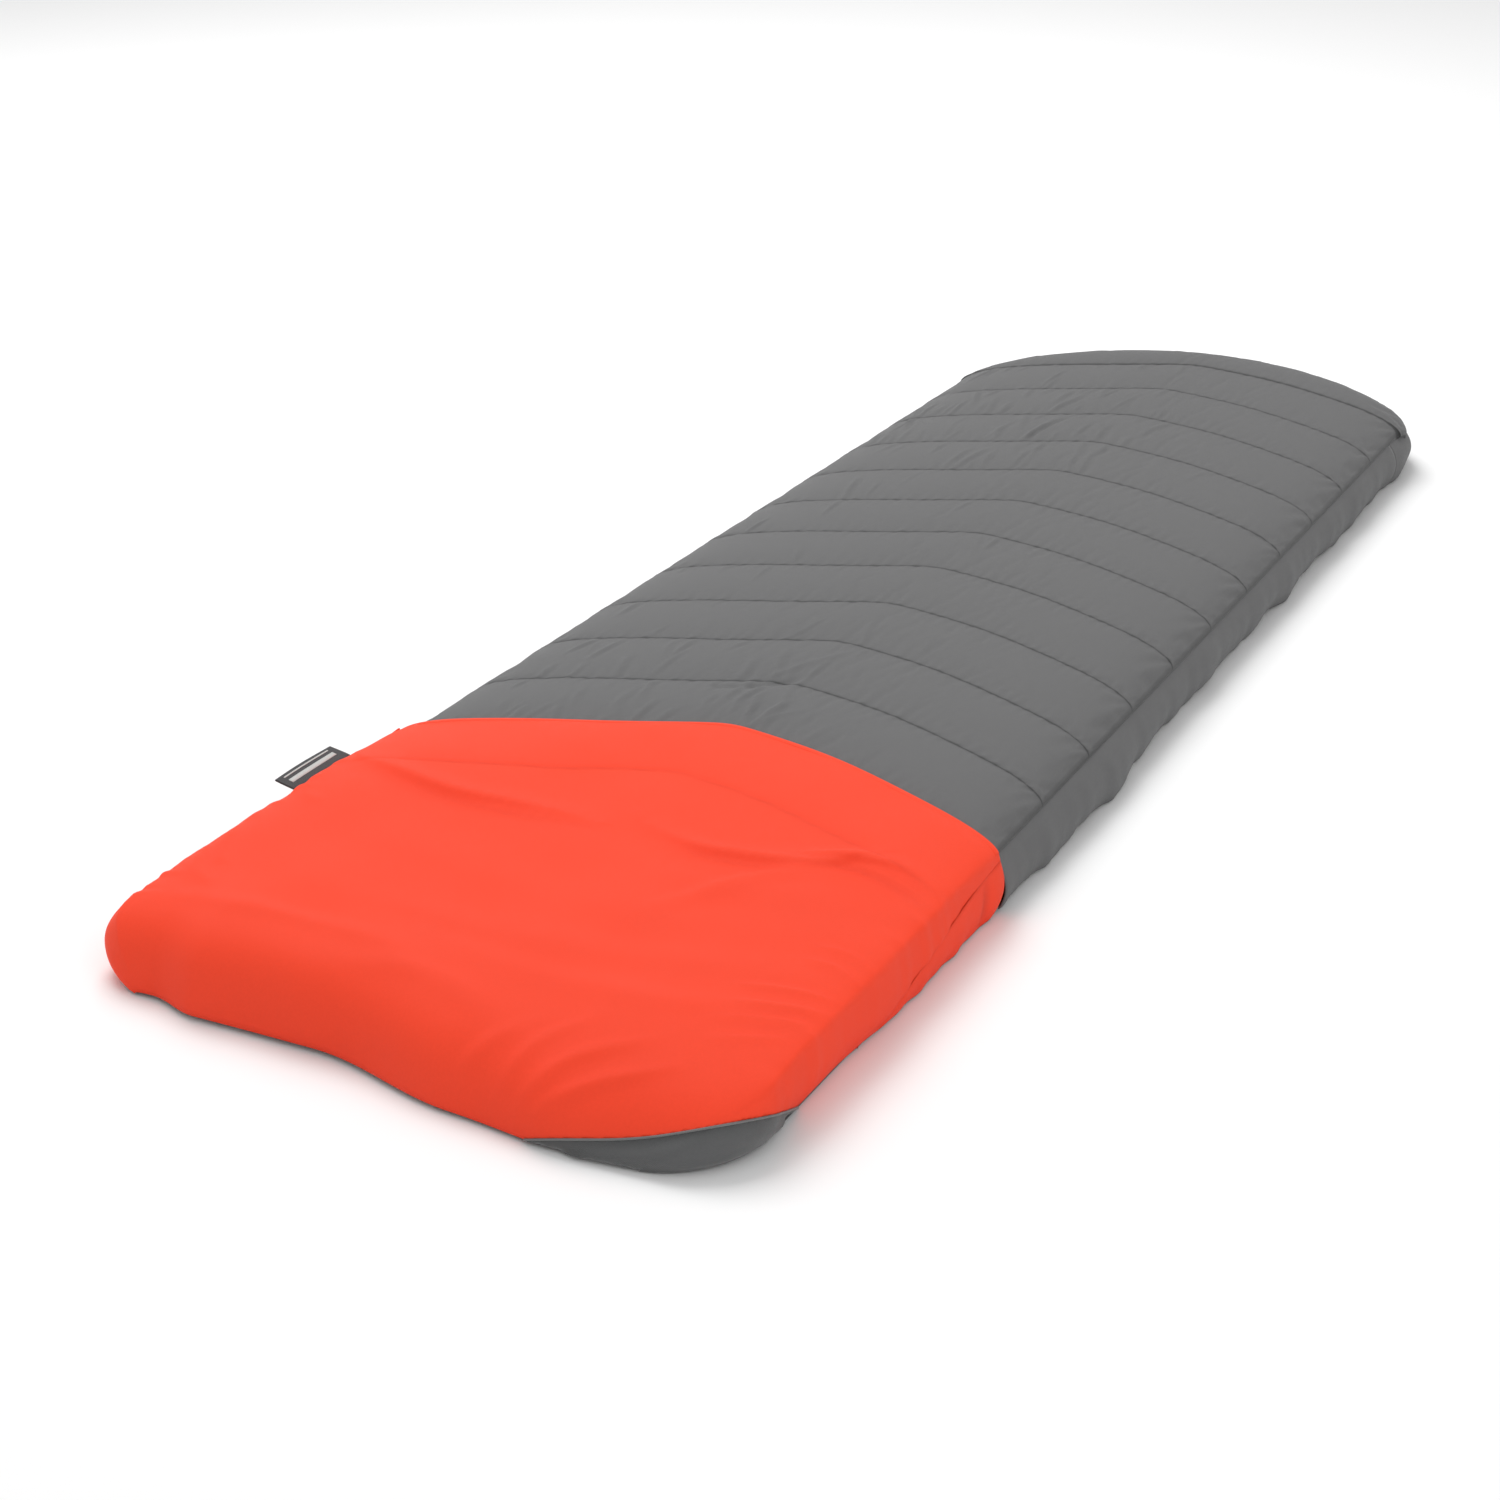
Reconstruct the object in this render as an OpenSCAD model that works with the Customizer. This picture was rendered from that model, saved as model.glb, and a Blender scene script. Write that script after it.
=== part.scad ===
// Camping sleeping pad in its quilted cover, lying flat.
// +Z is up, +Y points to the head end, the foot end has a closed pocket.
// The origin is under the middle of the pad, on the ground. Millimetres.

/* [Overall] */
// Length of the dressed pad, from toe to head
total_len = 1840; // [1800:5:1980]
// Width of the grey quilt beside the foot pocket
foot_w = 580; // [560:2:640]
// Width of the grey quilt where the head end starts to round
head_w = 560; // [520:2:576]

/* [Pad] */
// Thickness of the inflated pad on its centre line
pad_h = 65; // [60:1:66]
// Thickness of the pad's coated fabric
pad_skin_t = 1.2; // [0.8:0.1:1.4]

/* [Quilted cover] */
// Thickness of the quilt on its centre line
quilt_t = 11; // [9:0.5:13]
// Thickness of each layer of cover fabric
fabric_t = 1.2; // [0.8:0.1:1.4]
// Height of the seam that joins the quilt to its side walls
seam_z = 54; // [50:0.5:55]
// Distance from one quilting seam to the next
seam_pitch = 107.3; // [95:0.1:108]
// Number of quilting seams on the grey top
seam_count = 11; // [8:1:11]
// How far a quilting seam's point runs ahead of its ends
chevron_rise = 98; // [60:1:102]

/* [Foot pocket] */
// Length of the orange pocket along its sides
pocket_len = 455; // [430:5:470]
// Length over which the toe end rolls down to the ground
toe_roll = 120; // [110:5:125]
// Length of the side gore, from the pocket's mouth towards the toe
gore_len = 245; // [200:5:250]
// Width of the corner that the grey toe panel takes, along the toe
corner_x = 152; // [140:2:180]
// Length of the corner that the grey toe panel takes, along the side
corner_y = 124; // [110:2:140]

/* [Hem] */
// Width of the turned-under hem
hem_w = 26; // [20:1:28]
// Thickness of the turned-under hem with its elastic
hem_t = 2.4; // [2:0.1:2.6]

/* [Valve] */
// Distance of the valve from the centre line, towards the left side
valve_x = 60; // [40:5:70]
// Height of the valve's axis
valve_z = 27; // [25:0.5:28]
// Outer radius of the mouthpiece that a pump sleeve pushes onto
mouth_r = 9; // [8:0.25:9.5]
// Length of the mouthpiece
mouth_len = 12; // [8:0.5:14]

/* [Label] */
// Length of the woven label along the seam
label_len = 80; // [60:1:100]
// How far the woven label stands out of the seam
label_out = 26; // [18:1:30]

/* [Hidden] */

orange = [0.98, 0.36, 0.25];
grey = [0.44, 0.44, 0.44];
dark_grey = [0.3, 0.3, 0.3];
pale_grey = [0.72, 0.72, 0.72];
charcoal = [0.2, 0.21, 0.22];

// --- Plan outline ---------------------------------------------------------
foot_hw = foot_w / 2;
head_hw = head_w / 2;
toe_y = -total_len / 2;
head_y = total_len / 2;
mouth_y = toe_y + pocket_len;
toe_start_y = toe_y + toe_roll;
head_start_y = head_y - 240;
toe_corner_r = 75;
head_corner_r = 30;
head_bow = 150;

// Half width of the quilt at a place along the pad
function half_width(y) =
  y < toe_y + toe_corner_r
    ? foot_hw - toe_corner_r + sqrt(max(0, pow(toe_corner_r, 2) - pow(toe_y + toe_corner_r - y, 2)))
  : y < mouth_y ? foot_hw
  : y > head_start_y ? head_hw
  : foot_hw + (head_hw - foot_hw) * (y - mouth_y) / (head_start_y - mouth_y);

// Head end of the outline: a deep bow that ends in two small round corners
function head_edge(u) =
  let (x = abs(u) * head_hw, into = max(0, x - (head_hw - head_corner_r)))
  head_y - head_bow * pow(x / head_hw, 2)
    - head_corner_r + sqrt(pow(head_corner_r, 2) - pow(into, 2));

// Quilting seams run ahead in a V: zero at the sides, most on the centre line
function chevron(u) = chevron_rise * (1 - abs(u));

// --- Heights --------------------------------------------------------------
layer_gap = 1;
pad_crown_z = pad_h + layer_gap;
quilt_crown_z = pad_h + layer_gap + quilt_t;
lining_edge_z = seam_z - 3.2;
equator_z = 33;
head_drop = 8;

// Rounded shoulders across the width, and the two ends that roll down
function arch(u) = sqrt(max(0, 1 - pow(abs(u), 3)));
function toe_fall(y) =
  y > toe_start_y ? 1 : sqrt(max(0, 1 - pow((toe_start_y - y) / toe_roll, 2)));
function head_fall(u, y) =
  y < head_start_y ? 1
  : sqrt(max(0, 1 - pow((y - head_start_y) / (head_edge(u) - head_start_y), 2)));

// A roof surface over the pad with the given heights at its edge and its crown
function roof(u, y, edge, crown) =
  toe_fall(y) * (edge - head_drop * (1 - head_fall(u, y))
    + (crown - edge) * arch(u) * head_fall(u, y));

// The quilt thins out under the pocket, between its last two seams
quilt_end_y = mouth_y - seam_pitch;
thin_crown_z = pad_crown_z + 4;
function quilt_crown(w) =
  let (t = min(1, max(0, (w - quilt_end_y) / (0.85 * seam_pitch))))
  thin_crown_z + (quilt_crown_z - thin_crown_z) * t;
function quilt_z(u, y) = roof(u, y, seam_z, quilt_crown(y - chevron(u)));
function lining_z(u, y) = roof(u, y, lining_edge_z, pad_crown_z);

// The pocket lies on the quilt at its mouth and on the pad further on
pocket_gap = 0.7;
function pocket_crown(w) =
  let (t = min(1, max(0, (w - quilt_end_y + 60) / 60)))
  w > quilt_end_y ? quilt_crown(w) : pad_crown_z + 1 + (thin_crown_z - pad_crown_z - 1) * t;
function pocket_z(u, y) = roof(u, y, seam_z, pocket_crown(y - chevron(u))) + pocket_gap;

// --- Sheets between two grids of points -----------------------------------
function flat(rows) = [for (r = rows) for (p = r) p];
function reversed(list) = [for (i = [len(list) - 1:-1:0]) list[i]];

// Triangles of a closed sheet whose outer and inner faces are m by n grids
function sheet_faces(m, n) =
  let (k = m * n)
  concat(
    [for (i = [0:m - 2]) for (j = [0:n - 2]) let (a = i * n + j) each
      [[a, a + n, a + 1], [a + 1, a + n, a + n + 1],
       [k + a, k + a + 1, k + a + n], [k + a + 1, k + a + n + 1, k + a + n]]],
    [for (j = [0:n - 2]) let (b = (m - 1) * n + j) each
      [[j, j + 1, k + j], [j + 1, k + j + 1, k + j],
       [b, k + b, b + 1], [b + 1, k + b, k + b + 1]]],
    [for (i = [0:m - 2]) let (a = i * n, b = i * n + n - 1) each
      [[a, k + a, a + n], [a + n, k + a, k + a + n],
       [b, b + n, k + b], [b + n, k + b + n, k + b]]]
  );

module sheet(outer, inner) {
  polyhedron(
    points = concat(flat(outer), flat(inner)),
    faces = sheet_faces(len(outer), len(outer[0]))
  );
}

// Columns across the width crowd towards the shoulders
function columns(n) = [for (i = [0:n]) sin(-90 + 180 * i / n)];
toe_angles = [86, 76, 62, 46, 30, 15];
head_angles = [15, 30, 45, 60, 75, 90];

// Rows from the toe to the head for the pad, which has no chevron
pad_rows = 14;
pad_row_count = len(toe_angles) + pad_rows + 1 + len(head_angles);
pad_head_row = len(toe_angles) + pad_rows + 1;
pad_inset = 2.4;
pad_toe_inset = 8;
function pad_row_y(u, i, toe_in, head_in) =
  i < len(toe_angles) ? toe_start_y - (toe_roll - toe_in) * sin(toe_angles[i])
  : i < pad_head_row
    ? toe_start_y + (head_start_y - toe_start_y) * (i - len(toe_angles)) / pad_rows
  : head_start_y + (head_edge(u) - head_in - head_start_y) * sin(head_angles[i - pad_head_row]);

// Share of a sheet's thickness by which a row's inner face steps back from the end
function toe_step(i) = i < len(toe_angles) ? sin(toe_angles[i]) : 0;
function head_step(i) = i >= pad_head_row ? sin(head_angles[i - pad_head_row]) : 0;

// --- Pad ------------------------------------------------------------------
base_lift = 2;

// The pad rounds off towards its welded edge, half way up, and over its last rows
function end_fall(falls, i) = falls[max(0, len(falls) - pad_row_count + i)];
function pad_edge_fall(u, i) =
  pow(max(0, 1 - pow(abs(u), 2.6)), 0.4) * end_fall([1, 0.85, 0.55, 0], i);
function base_edge_fall(u, i) = i == 0 ? 0 :
  pow(max(0, 1 - pow(abs(u), 16)), 0.45) * end_fall([1, 0.88, 0.6, 0], i);
function pad_lift(y) =
  let (t = min(1, max(0, (mouth_y + 95 - y) / 40))) base_lift * t;

pad_toe_z = 9;
function pad_mid_z(y) = max(equator_z * toe_fall(y), pad_toe_z);
function pad_point(u, i, d, z) =
  let (y = pad_row_y(u, i, pad_toe_inset, pad_inset), hw = half_width(pad_row_y(u, i, 0, 0)))
  [u * (hw - pad_inset - d), y + d * (toe_step(i) - head_step(i)), z];
function pad_top_point(u, i, d) =
  let (y = pad_row_y(u, i, 0, 0), top = lining_z(u, y) - layer_gap - d, mid = pad_mid_z(y))
  pad_point(u, i, d, mid + max(0, top - mid) * pad_edge_fall(u, i));
function pad_base_point(u, i, d) =
  let (y = pad_row_y(u, i, 0, 0), low = pad_lift(y) + d, mid = pad_mid_z(y))
  pad_point(u, i, d, mid - max(0, mid - low) * base_edge_fall(u, i));

pad_columns = columns(17);
core_gap = 0.6;
function pad_top_grid(d) =
  [for (i = [0:pad_row_count - 1]) [for (u = pad_columns) pad_top_point(u, i, d)]];
function pad_base_grid(d) =
  [for (i = [0:pad_row_count - 1]) [for (u = pad_columns) pad_base_point(u, i, d)]];

module pad_foam_core() {
  d = pad_skin_t + core_gap;
  color("lightyellow") difference() {
    foam_block(d);
    valve_axis() translate([0, 0, -22]) cylinder(r = flange_r + 1, h = 60, $fn = 48);
  }
}

// The block's top and base grids meet in one edge line, so the sides share points
module foam_block(d) {
  top = pad_top_grid(d);
  base = pad_base_grid(d);
  m = len(top);
  n = len(pad_columns);
  lift = 0.3;
  raised = [for (row = top) [for (p = row) [p[0], p[1], p[2] + lift]]];
  sheet(raised, base);
}

module pad_top_skin() {
  color(charcoal) difference() {
    sheet(pad_top_grid(0), pad_top_grid(pad_skin_t));
    valve_hole();
  }
}

// The base skin's outer face looks down, so its rows run the other way
module pad_base_skin() {
  color(charcoal) difference() {
    sheet(reversed(pad_base_grid(0)), reversed(pad_base_grid(pad_skin_t)));
    valve_hole();
  }
}

// --- Quilt ----------------------------------------------------------------
quilt_rows = 12;
quilt_columns = columns(18);
quilt_row_count = quilt_rows + 1 + len(head_angles);

function quilt_row_y(u, i) =
  i <= quilt_rows
    ? (quilt_end_y + chevron(u)) * (1 - i / quilt_rows) + head_start_y * i / quilt_rows
  : head_start_y + (head_edge(u) - head_start_y) * sin(head_angles[i - quilt_rows - 1]);

// Depth below the quilt's top, or height above its lining, by layer
function quilt_grid(from_top, from_lining) =
  [for (i = [0:quilt_row_count - 1]) [for (u = quilt_columns)
    let (y = quilt_row_y(u, i))
    [u * half_width(y), y, is_undef(from_lining) ? quilt_z(u, y) - from_top
                                                 : lining_z(u, y) + from_lining]]];

module quilt_shell() {
  color(grey) sheet(quilt_grid(0), quilt_grid(fabric_t));
}
module quilt_fill() {
  color("white") sheet(quilt_grid(fabric_t), quilt_grid(undef, 1));
}
module quilt_lining() {
  color(dark_grey) sheet(quilt_grid(undef, 1), quilt_grid(undef, 0));
}

// Each row of stitching is a thin rib along its chevron, on top of the quilt
stitch_w = 1.6;
stitch_t = 0.6;
stitch_columns = [for (u = columns(16)) u * 0.985];
function stitch_edge(w, side, up) =
  [for (u = stitch_columns)
    let (y = w + chevron(u) + side * stitch_w / 2, z = quilt_z(u, y))
    [u * half_width(y), y, z + layer_gap / 4 + up]];

module stitch_row(w) {
  sheet(
    [stitch_edge(w, -1, stitch_t), stitch_edge(w, 1, stitch_t)],
    [stitch_edge(w, -1, 0), stitch_edge(w, 1, 0)]
  );
}

module quilt_stitching() {
  color(dark_grey) for (k = [1:seam_count]) stitch_row(mouth_y + k * seam_pitch);
}

// --- Side walls of the quilted part ---------------------------------------
wall_t = 1.5;
wall_bottom_z = hem_t + 0.1;
wall_top_z = lining_edge_z - 0.2;

module side_wall(side) {
  y0 = mouth_y + 2;
  y1 = head_start_y;
  edge = [[half_width(y0), y0], [half_width(y1), y1]];
  inner = [[half_width(y1) - wall_t, y1], [half_width(y0) - wall_t, y0]];
  color(grey) translate([0, 0, wall_bottom_z]) linear_extrude(wall_top_z - wall_bottom_z)
    mirror([side < 0 ? 1 : 0, 0]) polygon(concat(edge, inner));
}
module right_gusset() { side_wall(1); }
module left_gusset() { side_wall(-1); }

// A strip that follows the rounded head end, from one inset to another
head_strip_columns = columns(28);
function head_line(inset) =
  [for (u = head_strip_columns) [u * (head_hw - inset), head_edge(u) - inset]];
module head_strip(inset_a, inset_b) {
  y0 = head_start_y + 0.5;
  left = -head_hw;
  polygon(concat(
    [[left + inset_a, y0]], head_line(inset_a), [[head_hw - inset_a, y0]],
    [[head_hw - inset_b, y0]], reversed(head_line(inset_b)), [[left + inset_b, y0]]
  ));
}

module head_gusset() {
  color(grey) difference() {
    translate([0, 0, wall_bottom_z])
      linear_extrude(lining_edge_z - head_drop - 0.2 - wall_bottom_z) head_strip(0, wall_t);
    valve_axis() cylinder(r = port_r, h = 80, center = true, $fn = 48);
  }
}

// --- Foot pocket ----------------------------------------------------------
pocket_out = 2;
pocket_t = fabric_t + 0.2;
pocket_low_z = 1.8;
pocket_rows = 8;
pocket_row_count = len(toe_angles) + pocket_rows + 1;
// Columns across the top, then two more down each side wall
pocket_columns = concat(
  [[-1, 1], [-1, 0.5]],
  [for (u = columns(18)) [u, 0]],
  [[1, 0.5], [1, 1]]
);

function pocket_row_y(u, i) =
  i < len(toe_angles) ? toe_start_y - toe_roll * sin(toe_angles[i])
  : let (t = (i - len(toe_angles)) / pocket_rows)
    toe_start_y * (1 - t) + (mouth_y + chevron(u)) * t;

// The side gore's top edge falls from the pocket's mouth to the ground
function gore_z(y) =
  let (t = min(1, max(0, (mouth_y - y) / gore_len)))
  pocket_low_z + (seam_z - 5 - pocket_low_z) * (1 - pow(t, 1.6));

function pocket_point(c, i, d) =
  let (y = pocket_row_y(c[0], i), z = pocket_z(c[0], y) + pocket_t - d)
  [c[0] * (half_width(y) + pocket_out - d), y + d * toe_step(i), z + (gore_z(y) - z) * c[1]];
function pocket_grid(d) =
  [for (i = [0:pocket_row_count - 1]) [for (c = pocket_columns) pocket_point(c, i, d)]];

module pocket_skin() {
  sheet(pocket_grid(0), pocket_grid(pocket_t));
}

// Space under a tilted plane through the two ends of the toe corner's seam
corner_angle = atan2(corner_y, corner_x);
corner_tilt = 28;
corner_z = 4;
piping_w = 3;
module corner_space(shift) {
  translate([foot_hw + pocket_out - corner_x, toe_y, corner_z]) rotate([0, 0, corner_angle])
    rotate([-corner_tilt, 0, 0]) translate([-60, -200, -100 - shift]) cube([400, 210, 100]);
}

module foot_top_panel() {
  color(orange) difference() {
    pocket_skin();
    corner_space(0);
  }
}
module toe_corner_piping() {
  color(pale_grey) difference() {
    intersection() {
      pocket_skin();
      corner_space(0);
    }
    corner_space(piping_w);
  }
}
module toe_corner_panel() {
  color(dark_grey) intersection() {
    pocket_skin();
    corner_space(piping_w);
  }
}

// Turned edge of the pocket, lying on top of the panel along the chevron
binding_w = 8;
binding_t = 0.8;
function binding_edge(w, up) =
  [for (u = stitch_columns)
    let (y = w + chevron(u), z = pocket_z(u, y) + pocket_t + 0.3)
    [u * (half_width(y) + pocket_out), y, z + up]];
module pocket_edge_binding() {
  color(orange) sheet(
    [binding_edge(mouth_y - binding_w, binding_t), binding_edge(mouth_y - 0.5, binding_t)],
    [binding_edge(mouth_y - binding_w, 0), binding_edge(mouth_y - 0.5, 0)]
  );
}

module side_gore(side) {
  rows = [for (i = [len(toe_angles):pocket_row_count - 1]) pocket_row_y(1, i)];
  top = [for (y = rows) if (y > mouth_y - gore_len) [y, gore_z(y) - 0.3]];
  low = pocket_low_z - 0.1;
  color(orange) mirror([side < 0 ? 1 : 0, 0])
    translate([foot_hw + pocket_out - wall_t, 0, 0]) rotate([90, 0, 90])
    linear_extrude(wall_t) polygon(concat([[mouth_y - gore_len, low]], top, [[mouth_y, low]]));
}
module foot_right_gore() { side_gore(1); }
module foot_left_gore() { side_gore(-1); }

// --- Underside ------------------------------------------------------------
base_panel_t = 1.5;
base_elastic_w = 12;

module toe_plan(inset) {
  hw = foot_hw + pocket_out - inset;
  r = toe_corner_r - inset;
  y0 = toe_y + inset;
  left = [for (a = [180:10:270]) [-hw + r + r * cos(a), y0 + r + r * sin(a)]];
  right = [for (a = [270:10:360]) [hw - r + r * cos(a), y0 + r + r * sin(a)]];
  polygon(concat([[-hw, mouth_y]], left, right, [[hw, mouth_y]]));
}
module foot_base_panel() {
  color(dark_grey) linear_extrude(base_panel_t) toe_plan(0.5);
}
module base_panel_elastic() {
  strip_hw = foot_hw - hem_w - 2;
  color(charcoal) translate([-strip_hw, mouth_y, 0])
    cube([2 * strip_hw, base_elastic_w, base_panel_t]);
}

elastic_w = 8;
elastic_t = 1;
elastic_in = 5;
head_hem_w = 17;
channel_gap = 0.1;

module side_strip(side, inset_a, inset_b, trim) {
  y0 = mouth_y + 2 + trim;
  y1 = head_start_y - trim;
  mirror([side < 0 ? 1 : 0, 0]) polygon([
    [half_width(y0) - inset_a, y0], [half_width(y1) - inset_a, y1],
    [half_width(y1) - inset_b, y1], [half_width(y0) - inset_b, y0]
  ]);
}
module side_hem(side) {
  z0 = (hem_t - elastic_t) / 2;
  color(grey) difference() {
    linear_extrude(hem_t) side_strip(side, 0, hem_w, 0);
    translate([0, 0, z0 - channel_gap]) linear_extrude(elastic_t + 2 * channel_gap)
      side_strip(side, elastic_in - channel_gap, elastic_in + elastic_w + channel_gap, 4);
  }
}
module side_elastic(side) {
  color("white") translate([0, 0, (hem_t - elastic_t) / 2]) linear_extrude(elastic_t)
    side_strip(side, elastic_in, elastic_in + elastic_w, 5);
}
module right_hem() { side_hem(1); }
module left_hem() { side_hem(-1); }
module right_hem_elastic() { side_elastic(1); }
module left_hem_elastic() { side_elastic(-1); }

module head_hem() {
  z0 = (hem_t - elastic_t) / 2;
  color(grey) difference() {
    linear_extrude(hem_t) head_strip(0, head_hem_w);
    translate([0, 0, z0 - channel_gap]) linear_extrude(elastic_t + 2 * channel_gap)
      intersection() {
        head_strip(elastic_in - channel_gap, elastic_in + elastic_w + channel_gap);
        head_zone(4);
      }
  }
}
module head_hem_elastic() {
  color("white") translate([0, 0, (hem_t - elastic_t) / 2]) linear_extrude(elastic_t)
    intersection() {
      head_strip(elastic_in, elastic_in + elastic_w);
      head_zone(5);
    }
}
module head_zone(trim) {
  translate([-head_hw, head_start_y + trim]) square([2 * head_hw, head_y - head_start_y]);
}

// --- Label ----------------------------------------------------------------
label_y = -565;
label_z = 51;
label_t = 1;
label_gap = 1.2;
label_tilt = 12;
module label_loop() {
  color(charcoal) translate([-foot_hw - pocket_out - label_gap, label_y - label_len / 2, label_z])
    rotate([0, label_tilt, 0]) translate([-label_out, 0, 0]) cube([label_out, label_len, label_t]);
}

// --- Valve ----------------------------------------------------------------
flange_r = 16;
flange_t = 2;
tube_r = 12;
tube_bore_r = 9;
tube_len = 40;
port_r = 13;
valve_back = 22;
valve_u = valve_x / head_hw;
valve_y = head_edge(valve_u) - valve_back;
collar_r = 15.5;
collar_gap = 0.05;
collar_z0 = 29;
lip_r = 12.6;
lip_z = 32.5;
lip_h = 1.5;
lip_gap = 0.1;
collar_top_z = tube_len + 3;
seat_r = 6;
seat_z = 35;
plunger_r = 7.6;
mouth_bore_r = 5;

// Turns +Z into +Y at the valve's place on the head end
module valve_axis() {
  translate([-valve_x, valve_y, valve_z]) rotate([-90, 0, 0]) children();
}
module valve_hole() {
  valve_axis() cylinder(r = tube_r + 0.3, h = 60, $fn = 48);
}

module valve_base() {
  color(charcoal) valve_axis() rotate_extrude($fn = 64) polygon([
    [tube_bore_r, 0], [flange_r, 0], [flange_r, flange_t], [tube_r, flange_t],
    [tube_r, lip_z], [lip_r, lip_z], [lip_r, lip_z + lip_h], [tube_r, lip_z + lip_h],
    [tube_r, tube_len], [seat_r, tube_len], [seat_r, seat_z + 2], [seat_r, seat_z],
    [tube_bore_r, seat_z]
  ]);
}

grip_ribs = 16;
module valve_collar() {
  bore_r = tube_r + collar_gap;
  groove_r = lip_r + lip_gap;
  color(charcoal) valve_axis() {
    rotate_extrude($fn = 64) polygon([
      [bore_r, collar_z0], [collar_r, collar_z0], [collar_r, collar_top_z],
      [mouth_r, collar_top_z], [mouth_r, collar_top_z + mouth_len],
      [mouth_bore_r, collar_top_z + mouth_len], [mouth_bore_r, tube_len + 0.3],
      [bore_r, tube_len + 0.3], [bore_r, lip_z + lip_h + lip_gap],
      [groove_r, lip_z + lip_h + lip_gap], [groove_r, lip_z - lip_gap],
      [bore_r, lip_z - lip_gap]
    ]);
    for (i = [0:grip_ribs - 1]) rotate([0, 0, i * 360 / grip_ribs])
      translate([collar_r - 0.4, -0.8, collar_z0 + 1])
      cube([1.2, 1.6, collar_top_z - collar_z0 - 2]);
  }
}

// The plunger closes against the seat from inside and opens inwards
stem_r = 2.5;
module valve_plunger() {
  head_z = seat_z - seal_t - 0.2;
  color("white") valve_axis() rotate_extrude($fn = 48) polygon([
    [0, head_z - 3], [plunger_r, head_z - 3], [plunger_r, head_z], [stem_r, head_z],
    [stem_r, tube_len + 6], [0, tube_len + 6]
  ]);
}
seal_t = 1.6;
module valve_seal() {
  color("black") valve_axis() translate([0, 0, seat_z - seal_t - 0.1])
    rotate_extrude($fn = 48) translate([stem_r + 0.05, 0]) square([plunger_r - 0.6 - stem_r, seal_t]);
}

// Reinforced ring around the opening in the head wall, for the valve
patch_w = 7;
patch_t = 1;
module valve_port_patch() {
  color(dark_grey) intersection() {
    valve_axis() difference() {
      cylinder(r = port_r + patch_w, h = 80, center = true, $fn = 48);
      cylinder(r = port_r, h = 80, center = true, $fn = 48);
    }
    translate([0, 0, wall_bottom_z])
      linear_extrude(lining_edge_z - head_drop - wall_bottom_z - 0.2)
      head_strip(-patch_t, -0.05);
  }
}

pad_foam_core();
pad_top_skin();
pad_base_skin();
quilt_lining();
quilt_fill();
quilt_shell();
quilt_stitching();
right_gusset();
left_gusset();
head_gusset();
foot_top_panel();
foot_right_gore();
foot_left_gore();
pocket_edge_binding();
toe_corner_panel();
toe_corner_piping();
foot_base_panel();
base_panel_elastic();
right_hem();
left_hem();
head_hem();
right_hem_elastic();
left_hem_elastic();
head_hem_elastic();
label_loop();
valve_port_patch();
valve_base();
valve_collar();
valve_plunger();
valve_seal();
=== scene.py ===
"""Looks of a camping sleeping pad in its quilted cover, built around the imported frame.

Metres, +Z up, +Y towards the head end. The foot end has an orange pocket.
"""
import math

import bmesh
import bpy
import numpy as np
from mathutils import Matrix, Vector


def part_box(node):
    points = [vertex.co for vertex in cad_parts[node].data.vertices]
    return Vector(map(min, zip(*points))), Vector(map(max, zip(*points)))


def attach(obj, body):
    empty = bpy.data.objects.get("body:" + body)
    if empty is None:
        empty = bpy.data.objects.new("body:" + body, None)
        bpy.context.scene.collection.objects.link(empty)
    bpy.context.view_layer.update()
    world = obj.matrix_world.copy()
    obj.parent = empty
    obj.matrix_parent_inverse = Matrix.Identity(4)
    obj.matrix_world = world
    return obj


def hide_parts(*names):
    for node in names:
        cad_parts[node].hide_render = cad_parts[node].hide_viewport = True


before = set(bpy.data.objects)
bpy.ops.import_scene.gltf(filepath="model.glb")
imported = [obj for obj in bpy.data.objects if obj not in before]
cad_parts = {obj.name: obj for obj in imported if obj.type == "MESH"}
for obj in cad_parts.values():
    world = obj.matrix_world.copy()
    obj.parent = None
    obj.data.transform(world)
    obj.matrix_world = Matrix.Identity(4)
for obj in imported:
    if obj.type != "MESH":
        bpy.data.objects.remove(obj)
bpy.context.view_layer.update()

# --- Driving dimensions, from the frame's boxes ---
quilt_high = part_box("quilt_shell")[1]
pocket_low, pocket_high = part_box("foot_top_panel")
wall_low, wall_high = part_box("right_gusset")
head_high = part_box("head_gusset")[1]

FOOT_HW = quilt_high.x
HEAD_HW = head_high.x
POCKET_HW = pocket_high.x
TOE_Y = pocket_low.y
HEAD_Y = quilt_high.y
MOUTH_Y = wall_low.y - 0.002
HEAD_START_Y = wall_high.y
TOE_ROLL = 0.120
TOE_START_Y = TOE_Y + TOE_ROLL
TOE_CORNER_R = 0.075
LEFT_CORNER_R = 0.045
HEAD_CORNER_R = 0.030
HEAD_BOW = 0.150
SEAM_Z = 0.054
QUILT_LEAN = 0.0045
HEAD_DROP = 0.008
SEAM_PITCH = 0.1073
SEAM_COUNT = 11
CHEVRON_RISE = 0.098
GORE_LEN = 0.245
GORE_TOP_Z = 0.049
POCKET_LOW_Z = 0.0018
LAST_SEAM_W = MOUTH_Y + SEAM_COUNT * SEAM_PITCH
BODY = "dressed_pad"


# --- Shape functions ---
def smooth(t):
    """Eases from 0 to 1 as t goes from 0 to 1."""
    t = np.clip(t, 0, 1)
    return t * t * (3 - 2 * t)


def bell(t):
    """A bump of height 1 at t = 0 that is almost gone by t = 2."""
    return np.exp(-np.square(t))


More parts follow.
